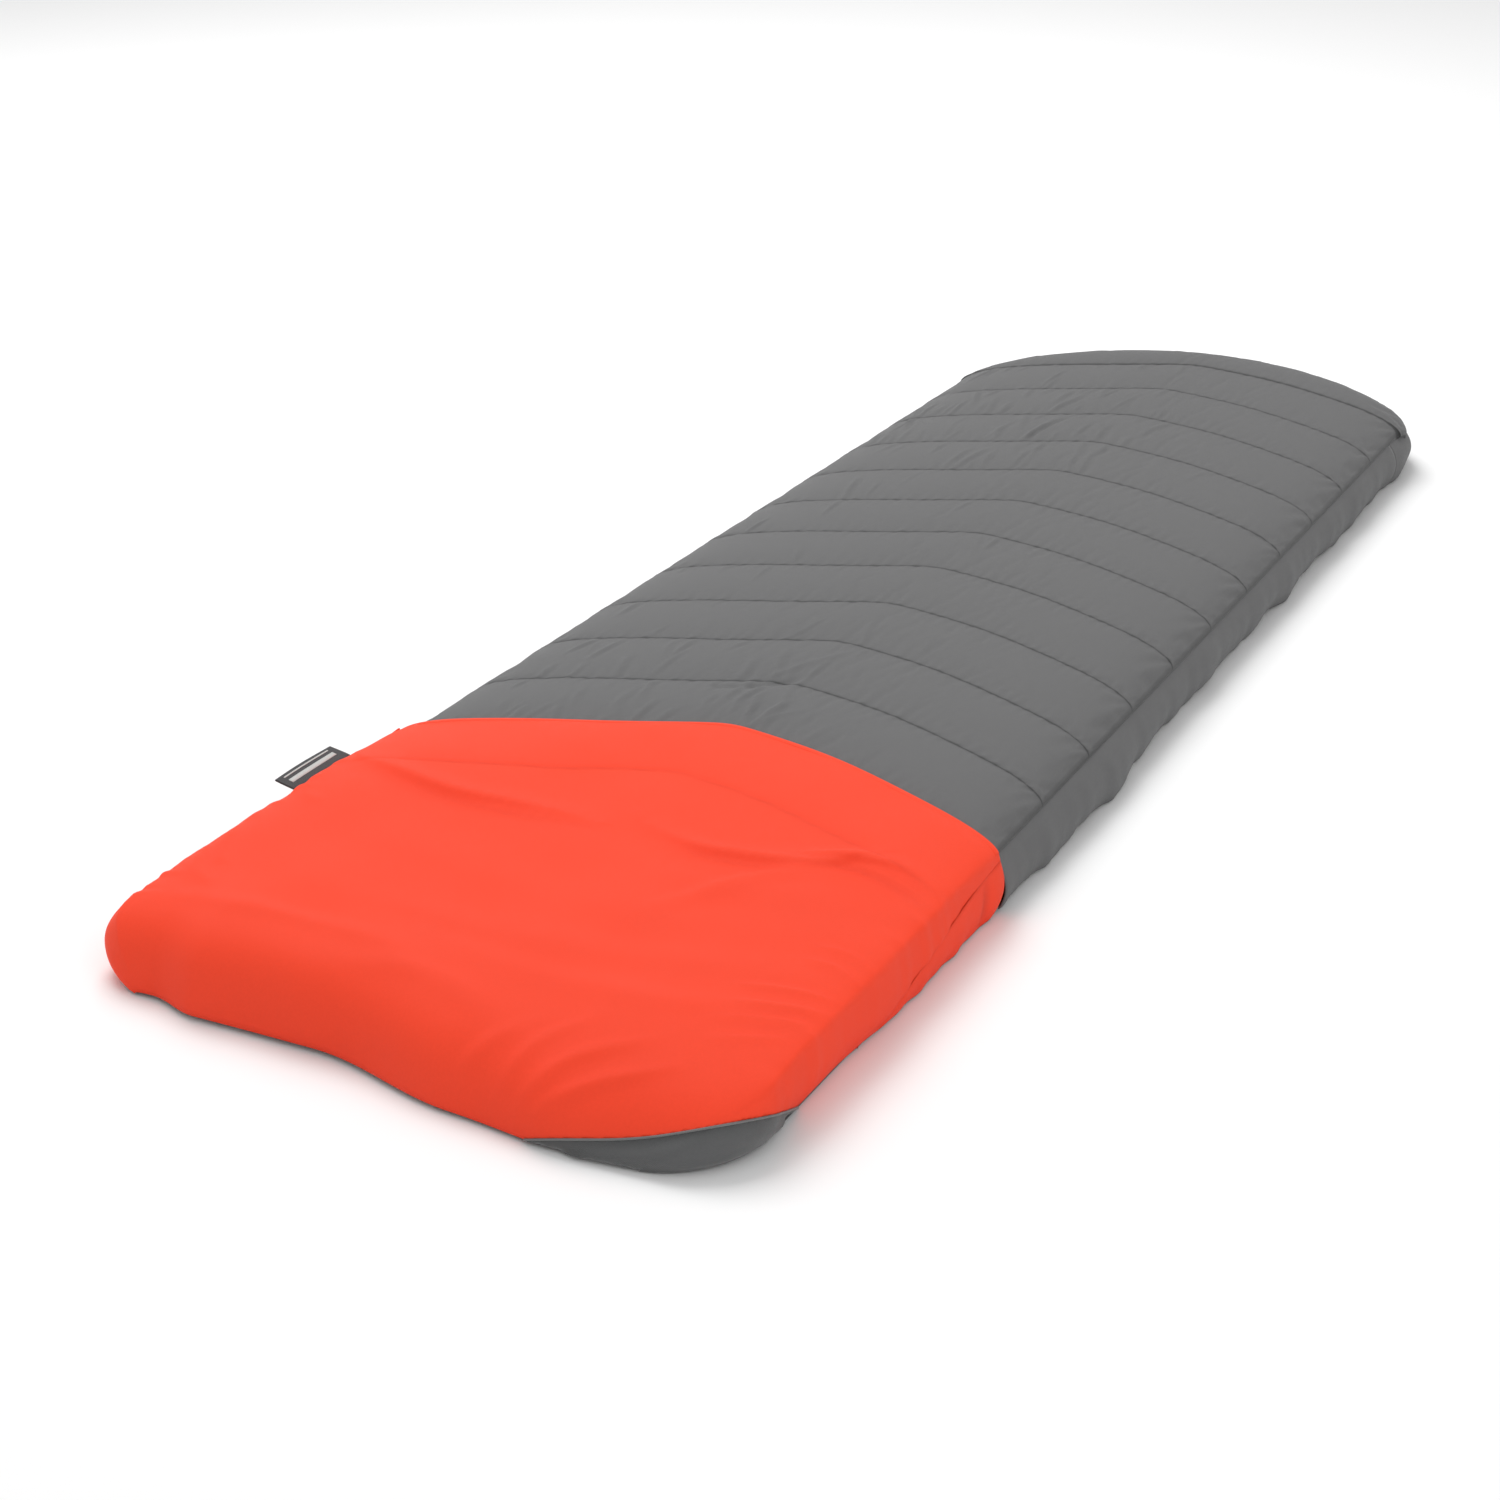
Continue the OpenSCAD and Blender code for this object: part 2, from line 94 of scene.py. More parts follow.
def half_width(y, u=1.0):
    """Half the cover's width at a place along it. The left toe corner is the sharper one."""
    radius = np.where(np.asarray(u) < 0, LEFT_CORNER_R, TOE_CORNER_R)
    into_corner = np.clip(TOE_Y + radius - y, 0, radius)
    toe = FOOT_HW - radius + np.sqrt(radius**2 - into_corner**2)
    along = np.clip((y - MOUTH_Y) / (HEAD_START_Y - MOUTH_Y), 0, 1)
    return np.minimum(toe, FOOT_HW + (head_hw(u) - FOOT_HW) * along)


def head_hw(u):
    """Half the cover's width at the head: it is drawn in a little more on the left."""
    return HEAD_HW - 0.012 * (np.asarray(u) < 0)


def head_edge(u):
    """Where the cover ends at the head: a deep bow with two small round corners."""
    x = np.abs(u) * HEAD_HW
    into = np.clip(x - (HEAD_HW - HEAD_CORNER_R), 0, HEAD_CORNER_R)
    corner = np.sqrt(HEAD_CORNER_R**2 - into**2) - HEAD_CORNER_R
    return HEAD_Y - HEAD_BOW * np.square(x / HEAD_HW) + corner


def chevron(u):
    """How far a quilting seam runs ahead of its two ends: a rounded point and uneven arms."""
    drift = 0.012 * bell((u + 1.0) / 0.22) - 0.008 * bell((u + 0.33) / 0.28)
    drift = drift + 0.008 * bell((u - 0.38) / 0.28)
    return CHEVRON_RISE * (1.0015 - np.sqrt(u * u + 0.003)) + drift


def arch(u):
    """The crown across the cover: a full shoulder on the right, a softer one on the left."""
    return np.sqrt(np.maximum(0, 1 - np.abs(u) ** np.where(np.asarray(u) < 0, 2.4, 5.0)))


def edge_z(u, y):
    """Height of the seam along the cover's side: lower on the quilt, and lowest on its left."""
    quilted = smooth((y - MOUTH_Y + 0.10) / 0.12)
    return SEAM_Z - quilted * (0.004 + 0.0085 * smooth(0.5 - u))


def toe_fall(u, y):
    """How much of its height the toe end keeps: a roll on the right, steeper on the left."""
    t = np.clip((TOE_START_Y - y) / TOE_ROLL, 0, 1)
    return np.sqrt(np.maximum(0, 1 - t ** (2.4 + 3.0 * smooth(0.5 - u))))


def head_fall(u, y):
    """How much of its height the head end keeps."""
    t = np.clip((y - HEAD_START_Y) / (head_edge(u) - QUILT_LEAN - HEAD_START_Y), 0, 1)
    return np.sqrt(1 - t**4.5)


def roof(u, y, edge, crown):
    """Height of a layer over the pad, from its height at the edge and on the crown."""
    fall = head_fall(u, y)
    return toe_fall(u, y) * (edge - HEAD_DROP * (1 - fall) + (crown - edge) * arch(u) * fall)


def toe_shift(x, y):
    """The toe end isn't straight: it is drawn in left of the middle and full on the right."""
    left = 0.028 * smooth((0.06 - x) / 0.14) + 0.013 * smooth((-x - 0.19) / 0.05)
    shift = left - 0.012 * bell((x - 0.165) / 0.075)
    return shift * smooth((TOE_START_Y + 0.05 - y) / 0.16)


def bend_toe(points):
    """Points of the foot end, moved along by the toe's shift."""
    moved = np.array(points, float)
    moved[..., 1] += toe_shift(moved[..., 0], moved[..., 1])
    return moved


# --- Mesh helpers ---
def grid_quads(rows, cols, first=0, flip=False):
    """Quads of a grid stored row by row. Columns to the right and rows up face the viewer."""
    a = first + (np.arange(rows - 1)[:, None] * cols + np.arange(cols - 1)[None, :]).ravel()
    quads = np.stack([a, a + 1, a + cols + 1, a + cols], axis=1)
    return quads[:, ::-1] if flip else quads


def grid_normals(points):
    normal = np.cross(np.gradient(points, axis=1), np.gradient(points, axis=0))
    return normal / np.maximum(np.linalg.norm(normal, axis=2, keepdims=True), 1e-12)


def closed_sheet(outer, thickness):
    """A cloth of some thickness whose outer face is the grid."""
    rows, cols = outer.shape[:2]
    count = rows * cols
    inner = outer - grid_normals(outer) * thickness
    index = np.arange(count).reshape(rows, cols)
    rims = [index[0, ::-1], index[-1], index[:, 0], index[::-1, -1]]
    faces = [grid_quads(rows, cols), grid_quads(rows, cols, count, flip=True)]
    for rim in rims:
        a, b = rim[:-1], rim[1:]
        faces.append(np.stack([a, b, b + count, a + count], axis=1))
    return np.concatenate([outer.reshape(-1, 3), inner.reshape(-1, 3)]), np.concatenate(faces)


def tube(path, radius, sides=8):
    """A round cord of cloth along a path, closed at both ends."""
    path = np.asarray(path, float)
    tangent = np.gradient(path, axis=0)
    tangent /= np.linalg.norm(tangent, axis=1, keepdims=True)
    up = np.array([0, 0, 1.0])
    side = np.cross(tangent, up)
    side /= np.maximum(np.linalg.norm(side, axis=1, keepdims=True), 1e-9)
    over = np.cross(side, tangent)
    turn = np.linspace(0, 2 * math.pi, sides, endpoint=False)
    ring = side[:, None] * np.cos(turn)[None, :, None] + over[:, None] * np.sin(turn)[None, :, None]
    points = (path[:, None] + radius * ring).reshape(-1, 3)
    faces = []
    for i in range(len(path) - 1):
        for j in range(sides):
            a, b = i * sides + j, i * sides + (j + 1) % sides
            faces.append([a, a + sides, b + sides, b])
    faces.append(list(range(sides)))
    faces.append([(len(path) - 1) * sides + j for j in reversed(range(sides))])
    return points, faces


def in_scene(name, data):
    """A new object in the scene that shows some data."""
    made = bpy.data.objects.new(name, data)
    bpy.context.scene.collection.objects.link(made)
    return made


def shade_smooth(mesh):
    mesh.polygons.foreach_set("use_smooth", [True] * len(mesh.polygons))


def make_mesh(name, points, faces):
    """A piece from points and faces, shaded smooth."""
    mesh = bpy.data.meshes.new(name)
    mesh.from_pydata(np.asarray(points).tolist(), [], [list(map(int, f)) for f in faces])
    shade_smooth(mesh)
    mesh.update()
    return in_scene(name, mesh)


def settle(grid, pinned, slack, growth, pressure, frames=20):
    """Cloth simulation of a grid of points that is held where pinned and swells under pressure.

    slack from 0 to 1 takes the cloth's growth from its lesser to its greater share.
    """
    draw = np.random.default_rng(5)
    start = grid + 0.00006 * draw.standard_normal(grid.shape)
    piece = make_mesh("cloth_draft", start.reshape(-1, 3), grid_quads(*grid.shape[:2]))
    for name, values in (("pin", pinned), ("slack", slack)):
        group = piece.vertex_groups.new(name=name)
        for i, value in enumerate(np.broadcast_to(values, grid.shape[:2]).ravel()):
            if value > 0:
                group.add([i], float(value), "REPLACE")
    cloth = piece.modifiers.new("cloth", "CLOTH")
    cloth.point_cache.frame_end = frames
    use = cloth.settings
    use.quality = 6
    use.mass = 0.15
    use.air_damping = 4.0
    use.tension_stiffness = use.compression_stiffness = 12
    use.shear_stiffness = 4
    use.bending_stiffness = 0.05
    use.vertex_group_mass = "pin"
    use.vertex_group_shrink = "slack"
    use.shrink_min, use.shrink_max = -growth[0], -growth[1]
    use.use_pressure = True
    use.uniform_pressure_force = pressure
    use.effector_weights.gravity = 0
    scene = bpy.context.scene
    for frame_number in range(1, frames + 1):
        scene.frame_set(frame_number)
    settled = piece.evaluated_get(bpy.context.evaluated_depsgraph_get()).to_mesh()
    points = np.empty(grid.size)
    settled.vertices.foreach_get("co", points)
    scene.frame_set(1)
    bpy.data.objects.remove(piece)
    return points.reshape(grid.shape)


def doubled(values, axis):
    """A grid of values with smooth in-between ones along one axis."""
    v = np.moveaxis(values, axis, 0)
    padded = np.concatenate([2 * v[:1] - v[1:2], v, 2 * v[-1:] - v[-2:-1]])
    between = (9 * (v[:-1] + v[1:]) - padded[:-3] - padded[3:]) / 16
    out = np.empty((2 * len(v) - 1, *v.shape[1:]))
    out[::2], out[1::2] = v, between
    return np.moveaxis(out, 0, axis)


def paint(piece, name, values):
    """Stores one number for each point of a piece, which its material reads."""
    layer = piece.data.attributes.new(name, "FLOAT", "POINT")
    layer.data.foreach_set("value", np.asarray(values, np.float32).ravel())


def dress(piece, material, nodes=(), body=BODY):
    """Gives a piece its material and its body, and hides the CAD nodes it stands for."""
    piece.data.materials.clear()
    piece.data.materials.append(material)
    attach(piece, body)
    if nodes:
        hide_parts(*nodes)
    return piece


def sheet_piece(name, outer, thickness, material, nodes=(), body=BODY):
    """A dressed piece of cloth whose outer face is the grid."""
    points, faces = closed_sheet(outer, thickness)
    return dress(make_mesh(name, points, faces), material, nodes, body)


def apply_modifiers(piece):
    """Turns what the modifiers make into the piece's own mesh."""
    graph = bpy.context.evaluated_depsgraph_get()
    mesh = bpy.data.meshes.new_from_object(piece.evaluated_get(graph), depsgraph=graph)
    piece.modifiers.clear()
    old = piece.data
    piece.data = mesh
    bpy.data.meshes.remove(old)
    mesh.name = piece.name


def spaced(path, step):
    """A path again, with points evenly spaced about step apart."""
    path = np.asarray(path, float)
    far = np.concatenate([[0], np.cumsum(np.linalg.norm(np.diff(path, axis=0), axis=1))])
    at = np.linspace(0, far[-1], max(2, int(round(far[-1] / step)) + 1))
    return np.stack([np.interp(at, far, path[:, k]) for k in range(path.shape[1])], axis=1)


def curved(points, count=48):
    """A smooth curve through a few points."""
    points = np.asarray(points, float)
    ends = np.concatenate([[2 * points[0] - points[1]], points, [2 * points[-1] - points[-2]]])
    out = []
    for i in range(len(points) - 1):
        a, b, c, d = ends[i:i + 4]
        t = np.linspace(0, 1, count, endpoint=False)[:, None]
        out.append(0.5 * (2 * b + (c - a) * t + (2 * a - 5 * b + 4 * c - d) * t**2
                          + (3 * b - 3 * c + d - a) * t**3))
    return spaced(np.concatenate(out + [points[-1:]]), 0.004)


def fold(x, y, path, widths, height):
    """A crease along a curve: a ridge, or a valley if height is below 0, that fades at its ends.

    widths are how far it reaches to the left and to the right of the curve.
    """
    line = curved(path)
    tangent = np.gradient(line, axis=0)
    tangent /= np.linalg.norm(tangent, axis=1, keepdims=True)
    lo, hi = line.min(0) - 3 * max(widths), line.max(0) + 3 * max(widths)
    near = (x > lo[0]) & (x < hi[0]) & (y > lo[1]) & (y < hi[1])
    rise = np.zeros_like(x)
    if not near.any():
        return rise
    p = np.stack([x[near], y[near]], axis=1)
    away = p[:, None] - line[None]
    best = np.square(away).sum(2).argmin(1)
    offset = away[np.arange(len(p)), best]
    t = tangent[best]
    left = t[:, 0] * offset[:, 1] - t[:, 1] * offset[:, 0] > 0
    width = np.where(left, widths[0], widths[1])
    along = best / (len(line) - 1)
    fade = np.sin(math.pi * np.clip(along, 0.02, 0.98)) ** 0.7
    rise[near] = height * fade * bell(np.linalg.norm(offset, axis=1) / width)
    return rise


def waves(s, parts):
    """A slow, uneven wave: a sum of (size, wavelength, phase) parts."""
    return sum(size * np.sin(2 * math.pi * s / length + phase) for size, length, phase in parts)


# --- Materials ---
def new_material(name):
    material = bpy.data.materials.new(name)
    material.use_nodes = True
    tree = material.node_tree
    shader = tree.nodes["Principled BSDF"]
    return material, tree, shader


def node(tree, kind, **values):
    made = tree.nodes.new(kind)
    for key, value in values.items():
        if key in made.inputs:
            made.inputs[key].default_value = value
        else:
            setattr(made, key, value)
    return made


def math_node(tree, operation, a, b=None):
    made = tree.nodes.new("ShaderNodeMath")
    made.operation = operation
    for socket, value in zip(made.inputs, (a, b)):
        if isinstance(value, (int, float)):
            socket.default_value = value
        elif value is not None:
            tree.links.new(value, socket)
    return made.outputs[0]


def weave(tree, place, facing, pitch):
    """Over-and-under threads, across the top of a piece and on its side walls alike."""
    xyz = tree.nodes.new("ShaderNodeSeparateXYZ")
    tree.links.new(place, xyz.inputs[0])
    normal = tree.nodes.new("ShaderNodeSeparateXYZ")
    tree.links.new(facing, normal.inputs[0])
    waves_of = [
        math_node(tree, "SINE", math_node(tree, "MULTIPLY", xyz.outputs[k], 2 * math.pi / pitch))
        for k in range(3)
    ]
    top = math_node(tree, "MULTIPLY", waves_of[0], waves_of[1])
    right = math_node(tree, "MULTIPLY", waves_of[1], waves_of[2])
    front = math_node(tree, "MULTIPLY", waves_of[0], waves_of[2])
    share = [math_node(tree, "POWER", math_node(tree, "ABSOLUTE", normal.outputs[k]), 4.0)
             for k in range(3)]
    total = math_node(tree, "MULTIPLY", top, share[2])
    total = math_node(tree, "ADD", total, math_node(tree, "MULTIPLY", right, share[0]))
    return math_node(tree, "ADD", total, math_node(tree, "MULTIPLY", front, share[1]))


def fabric(name, colour, pitch=0.0009, roughness=0.62, sheen=0.25, crinkle=0.35,
           crinkle_scale=16.0, weave_depth=0.00012, mottle=0.05, specular=0.3, painted_shade_colour=None):
    """Woven cloth: threads, soft crinkles, slight colour variation, and painted shade in seams,
    creases and edges, read from a per-point attribute.
    """
    material, tree, shader = new_material(name)
    link = tree.links.new
    place = tree.nodes.new("ShaderNodeTexCoord").outputs["Object"]
    facing = tree.nodes.new("ShaderNodeNewGeometry").outputs["Normal"]
    cloth = weave(tree, place, facing, pitch)

    patches = node(tree, "ShaderNodeTexNoise", Scale=7.0, Detail=3.0, Roughness=0.6)
    link(place, patches.inputs["Vector"])
    fibres = node(tree, "ShaderNodeTexNoise", Scale=420.0, Detail=2.0)
    link(place, fibres.inputs["Vector"])
    soft = math_node(tree, "SUBTRACT", patches.outputs["Fac"], 0.5)
    fine = math_node(tree, "SUBTRACT", fibres.outputs["Fac"], 0.5)
    value = math_node(tree, "MULTIPLY", soft, 2 * mottle)
    value = math_node(tree, "ADD", value, math_node(tree, "MULTIPLY", fine, 2.4 * mottle))
    value = math_node(tree, "ADD", value, math_node(tree, "MULTIPLY", cloth, 0.5 * mottle))
    value = math_node(tree, "ADD", value, 1.0)

    tint = node(tree, "ShaderNodeMix", data_type="RGBA", blend_type="MULTIPLY")
    tint.inputs[0].default_value = 1.0
    tint.inputs["A"].default_value = (*colour, 1)
    link(value, tint.inputs["B"])
    # Painted shade: where the per-point attribute is high, the colour is darkened towards a painted
    # shadow colour.
    painted_shade = node(tree, "ShaderNodeAttribute", attribute_name="painted_shade")
    dark = node(tree, "ShaderNodeMix", data_type="RGBA")
    link(painted_shade.outputs["Fac"], dark.inputs[0])
    link(tint.outputs["Result"], dark.inputs["A"])
    dark.inputs["B"].default_value = (*(painted_shade_colour or [c * 0.2 for c in colour]), 1)
    link(dark.outputs["Result"], shader.inputs["Base Color"])

    rough = math_node(tree, "MULTIPLY_ADD", soft, 0.12)
    rough.node.inputs[2].default_value = roughness
    link(rough, shader.inputs["Roughness"])
    shader.inputs["Sheen Weight"].default_value = sheen
    shader.inputs["Sheen Roughness"].default_value = 0.45
    shader.inputs["Specular IOR Level"].default_value = specular

    creases = node(tree, "ShaderNodeTexNoise", Scale=crinkle_scale, Detail=5.0, Roughness=0.55,
                   Distortion=0.6)
    link(place, creases.inputs["Vector"])
    broad = node(tree, "ShaderNodeBump", Strength=crinkle, Distance=0.004)
    link(creases.outputs["Fac"], broad.inputs["Height"])
    close = node(tree, "ShaderNodeBump", Strength=0.8, Distance=weave_depth)
    link(cloth, close.inputs["Height"])
    link(broad.outputs["Normal"], close.inputs["Normal"])
    link(close.outputs["Normal"], shader.inputs["Normal"])
    return material


def plastic(name, colour, roughness=0.42, grain=900.0):
    """Moulded plastic: fine grain, slight gloss changes and pale rubbed patches."""
    material, tree, shader = new_material(name)
    link = tree.links.new
    place = tree.nodes.new("ShaderNodeTexCoord").outputs["Object"]
    fine = node(tree, "ShaderNodeTexNoise", Scale=grain, Detail=3.0)
    worn = node(tree, "ShaderNodeTexNoise", Scale=60.0, Detail=4.0)
    link(place, fine.inputs["Vector"])
    link(place, worn.inputs["Vector"])
    ramp = node(tree, "ShaderNodeValToRGB")
    ramp.color_ramp.elements[0].position = 0.35
    ramp.color_ramp.elements[0].color = (*colour, 1)
    ramp.color_ramp.elements[1].position = 0.8
    ramp.color_ramp.elements[1].color = (*[min(1, c * 1.35 + 0.01) for c in colour], 1)
    link(worn.outputs["Fac"], ramp.inputs["Fac"])
    link(ramp.outputs["Color"], shader.inputs["Base Color"])
    rough = math_node(tree, "MULTIPLY_ADD", worn.outputs["Fac"], 0.16)
    rough.node.inputs[2].default_value = roughness - 0.08
    link(rough, shader.inputs["Roughness"])
    bump = node(tree, "ShaderNodeBump", Strength=0.35, Distance=0.00015)
    link(fine.outputs["Fac"], bump.inputs["Height"])
    link(bump.outputs["Normal"], shader.inputs["Normal"])
    return material


def thread(name, colour):
    """Sewing thread: a fine tight twist without crinkles."""
    return fabric(name, colour, pitch=0.0008, crinkle=0.0, weave_depth=0.0002, roughness=0.7)


quilt_cloth = fabric("quilt_cloth", (0.112, 0.112, 0.113), crinkle=0.12, sheen=0.08)
gusset_cloth = fabric("gusset_cloth", (0.116, 0.116, 0.117), crinkle=0.3, sheen=0.08)
# The orange cloth's last colour is its painted shadow colour for seams and creases.
orange_cloth = fabric("orange_cloth", (0.93, 0.066, 0.027), crinkle=0.2, mottle=0.025,
                      sheen=0.0, specular=0.12, painted_shade_colour=(0.40, 0.03, 0.016))
stretch_cloth = fabric("stretch_cloth", (0.100, 0.102, 0.103), pitch=0.0016, crinkle=0.3,
                       weave_depth=0.00025, roughness=0.75)
base_cloth = fabric("base_cloth", (0.07, 0.072, 0.075), pitch=0.0018, roughness=0.7,
                    weave_depth=0.0003)
pad_cloth = fabric("pad_cloth", (0.09, 0.097, 0.11), pitch=0.0012, roughness=0.5, sheen=0.05,
                   crinkle=0.3)
piping_cloth = fabric("piping_cloth", (0.17, 0.17, 0.17), pitch=0.0012, crinkle=0.1,
                      weave_depth=0.0003)
elastic_cloth = fabric("elastic_cloth", (0.05, 0.05, 0.054), pitch=0.0020, crinkle=0.1,
                       weave_depth=0.0004)
grey_thread = thread("grey_thread", (0.055, 0.055, 0.055))
pale_thread = thread("pale_thread", (0.62, 0.62, 0.60))
label_cloth = fabric("label_cloth", (0.035, 0.035, 0.038), pitch=0.0008, crinkle=0.1,
                     weave_depth=0.0002)
valve_plastic = plastic("valve_plastic", (0.03, 0.032, 0.035))
plunger_plastic = plastic("plunger_plastic", (0.75, 0.75, 0.72), roughness=0.35)
seal_rubber = plastic("seal_rubber", (0.02, 0.02, 0.02), roughness=0.75, grain=500.0)


# --- Stitches ---
def stitches(name, path, material, nodes=(), pitch=0.0034, length=0.0026, radius=0.0005):
    """A row of small thread lozenges along each path of points."""
    paths = path if isinstance(path, list) else [path]
    corner = np.array([[-1, 0, 0], [0, -1, 0], [0, 0, -1], [0, 1, 0], [0, 0, 1], [1, 0, 0]], float)
    ring = [(1, 2), (2, 3), (3, 4), (4, 1)]
    block = [(0, b, a) for a, b in ring] + [(5, a, b) for a, b in ring]
    points, faces, first = [], [], 0
    for line in paths:
        at = spaced(line, pitch)
        along = np.gradient(at, axis=0)
        along /= np.linalg.norm(along, axis=1, keepdims=True)
        side = np.cross(along, [0, 0, 1.0])
        side /= np.maximum(np.linalg.norm(side, axis=1, keepdims=True), 1e-9)
        up = np.cross(side, along)
        for p, a, s, h in zip(at[1:-1], along[1:-1], side[1:-1], up[1:-1]):
            points.append(p + corner @ np.stack([a * length / 2, s * radius, h * radius]))
            faces += [[first + k for k in f] for f in block]
            first += len(corner)
    piece = make_mesh(name, np.concatenate(points), faces)
    return dress(piece, material, nodes)


# --- Quilted top ---
QUILT_COLUMNS = 273
CHANNEL_ROWS = 24
HIDDEN_ROWS = 8
HEAD_ROWS = 32
UNDER_STEP = 16
VALLEY_Z = 0.0735
SLACK = (0.0025, 0.034)
PRESSURE = 4.0
SWELL_CAP = 0.0085
SEAM_CROWD = 0.75

# Puckers at the pocket's mouth: points along each, reach to its left and right, height
# Most end points were taken from the photo and turned into metres with the fitted camera.
QUILT_FOLDS = [
    ([(0.015, -0.375), (0.018, -0.345), (0.024, -0.308)], (0.0030, 0.0030), 0.0030),
    ([(0.013, -0.373), (0.000, -0.335), (-0.009, -0.297)], (0.0030, 0.0028), 0.0024),
    ([(-0.013, -0.352), (-0.019, -0.306)], (0.0030, 0.0025), 0.0018),
    ([(-0.038, -0.362), (-0.044, -0.318)], (0.0030, 0.0025), 0.0015),
    ([(0.018, -0.365), (0.030, -0.340), (0.046, -0.322)], (0.0040, 0.0028), 0.0016),
    ([(-0.062, -0.309), (-0.018, -0.283), (0.011, -0.247)], (0.0040, 0.0060), -0.0030),
    ([(-0.024, -0.271), (0.000, -0.225), (0.026, -0.175)], (0.0032, 0.0030), 0.0016),
    ([(-0.099, -0.362), (-0.109, -0.314)], (0.0030, 0.0026), 0.0016),
    ([(-0.112, -0.387), (-0.119, -0.344)], (0.0030, 0.0026), 0.0014),
    ([(-0.150, -0.392), (-0.163, -0.340)], (0.0034, 0.0026), 0.0014),
    ([(-0.191, -0.342), (-0.192, -0.288)], (0.0036, 0.0030), 0.0014),
    ([(0.068, -0.388), (0.080, -0.342)], (0.0040, 0.0030), 0.0010),
]


def spread_columns(count):
    """Columns from -1 to 1 that crowd towards the shoulders."""
    s = np.linspace(-1, 1, count)
    return 0.5 * s + 0.5 * np.sin(s * math.pi / 2)


def quilt_rows():
    """Each row's place along the quilt, the channel it is in, and how far across that channel."""
    place, channel, phase = [], [], []
    for c in range(-1, SEAM_COUNT + 1):
        rows = HIDDEN_ROWS if c < 0 else HEAD_ROWS if c == SEAM_COUNT else CHANNEL_ROWS
        t = np.arange(rows) / rows
        if c < SEAM_COUNT:
            t = t - SEAM_CROWD * np.sin(2 * math.pi * t) / (2 * math.pi)
        else:
            t = np.sin(t * math.pi / 2)
        place += list(MOUTH_Y + (c + t) * SEAM_PITCH)
        channel += [c] * rows
        phase += list(t)
    return (np.array(place + [LAST_SEAM_W + SEAM_PITCH]), np.array(channel + [SEAM_COUNT]),
            np.array(phase + [1.0]))


def quilt_y(u, w, channel, phase):
    """Rows follow the chevrons, and past the last seam they turn into the head's edge."""
    seam_y = w + chevron(u)
    last_y = LAST_SEAM_W + chevron(u)
    head_y = last_y + (head_edge(u) - last_y) * phase
    return np.where(channel == SEAM_COUNT, head_y, seam_y)


def quilt_wrinkles(x, place, channel):
    """Short crisp creases that run out of the seams left of the middle."""
    draw = np.random.default_rng(11)
    rise = np.zeros_like(x)
    busy = {0: 22, 1: 16, 2: 6, 7: 20, 8: 34, 9: 30, 10: 12}
    for c in range(SEAM_COUNT + 1):
        low, high = MOUTH_Y + c * SEAM_PITCH, MOUTH_Y + (c + 1) * SEAM_PITCH
        rows = np.flatnonzero(channel == c)
        w = place[rows][:, None]
        for _ in range(busy.get(c, 3)):
            left = draw.random() < 0.9
            x0 = draw.uniform(-0.24, 0.04) if left else draw.uniform(0.0, 0.15)
            reach = draw.uniform(0.25, 0.75) * SEAM_PITCH
            from_foot = draw.random() < 0.5
            start = low if from_foot else high - reach
            lean = draw.uniform(-0.35, 0.25)
            width = draw.uniform(0.0020, 0.0038)
            size = draw.uniform(0.35, 1.2) * (0.0013 if left else 0.0005)
            t = np.clip((w - start) / reach, 0, 1)
            fade = np.sin(math.pi * t) ** 0.9
            off = x[rows] - x0 - lean * (w - start)
            rise[rows] += size * fade * (bell(off / width) - 0.5 * bell((off - 1.7 * width) / width))
    return rise


def pucker_row(x, seam_distance, seed):
    """Tiny gathers on both sides of a seam."""
    draw = np.random.default_rng(seed)
    parts = [(1.0, draw.uniform(0.011, 0.014), draw.uniform(0, 6)),
             (0.8, draw.uniform(0.017, 0.023), draw.uniform(0, 6)),
             (0.7, draw.uniform(0.031, 0.045), draw.uniform(0, 6))]
    return waves(x, parts) * np.exp(-seam_distance / 0.011) * smooth(seam_distance / 0.003)


def swollen(base, normal, u, p, c, w):
    """How the padding swells the cloth between its seams: simulated, then kept within a cap."""
    seam = (p == 0) | (p == 1) | (w < MOUTH_Y - 0.02)
    pinned = np.maximum(seam, np.abs(u) == 1) * 1.0
    busy = np.where(np.isin(c, [0, 1, 7, 8, 9, 10]), 1.0, 0.35)
    slack = busy * smooth(0.5 - 1.4 * u) * (1 - pinned)
    coarse = (slice(None, None, 2), slice(None, None, 2))
    settled = settle(base[coarse], pinned[coarse], slack[coarse], SLACK, PRESSURE)
    moved = doubled(doubled(settled - base[coarse], 0), 1)
    out = (moved * normal).sum(axis=2, keepdims=True)
    capped = SWELL_CAP * np.tanh(out / SWELL_CAP)
    return (moved + normal * (capped - out)) * (1 - pinned)[..., None]


def quilt_faces(rows, cols, under_columns):
    """Faces of the quilt's top, of its coarser underside and of the strips that join them."""
    count = rows * cols
    index = np.arange(count).reshape(rows, cols)
    small = count + np.arange(rows * len(under_columns)).reshape(rows, -1)
    faces = grid_quads(rows, cols).tolist()
    faces += grid_quads(rows, len(under_columns), count, flip=True).tolist()
    for i in range(rows - 1):
        faces.append([index[i, 0], index[i + 1, 0], small[i + 1, 0], small[i, 0]])
        faces.append([index[i + 1, -1], index[i, -1], small[i, -1], small[i + 1, -1]])
    for j in range(len(under_columns) - 1):
        run = list(range(under_columns[j], under_columns[j + 1] + 1))
        faces.append([small[0, j], small[0, j + 1]] + [index[0, k] for k in reversed(run)])
        faces.append([small[-1, j + 1], small[-1, j]] + [index[-1, k] for k in run])
    return faces


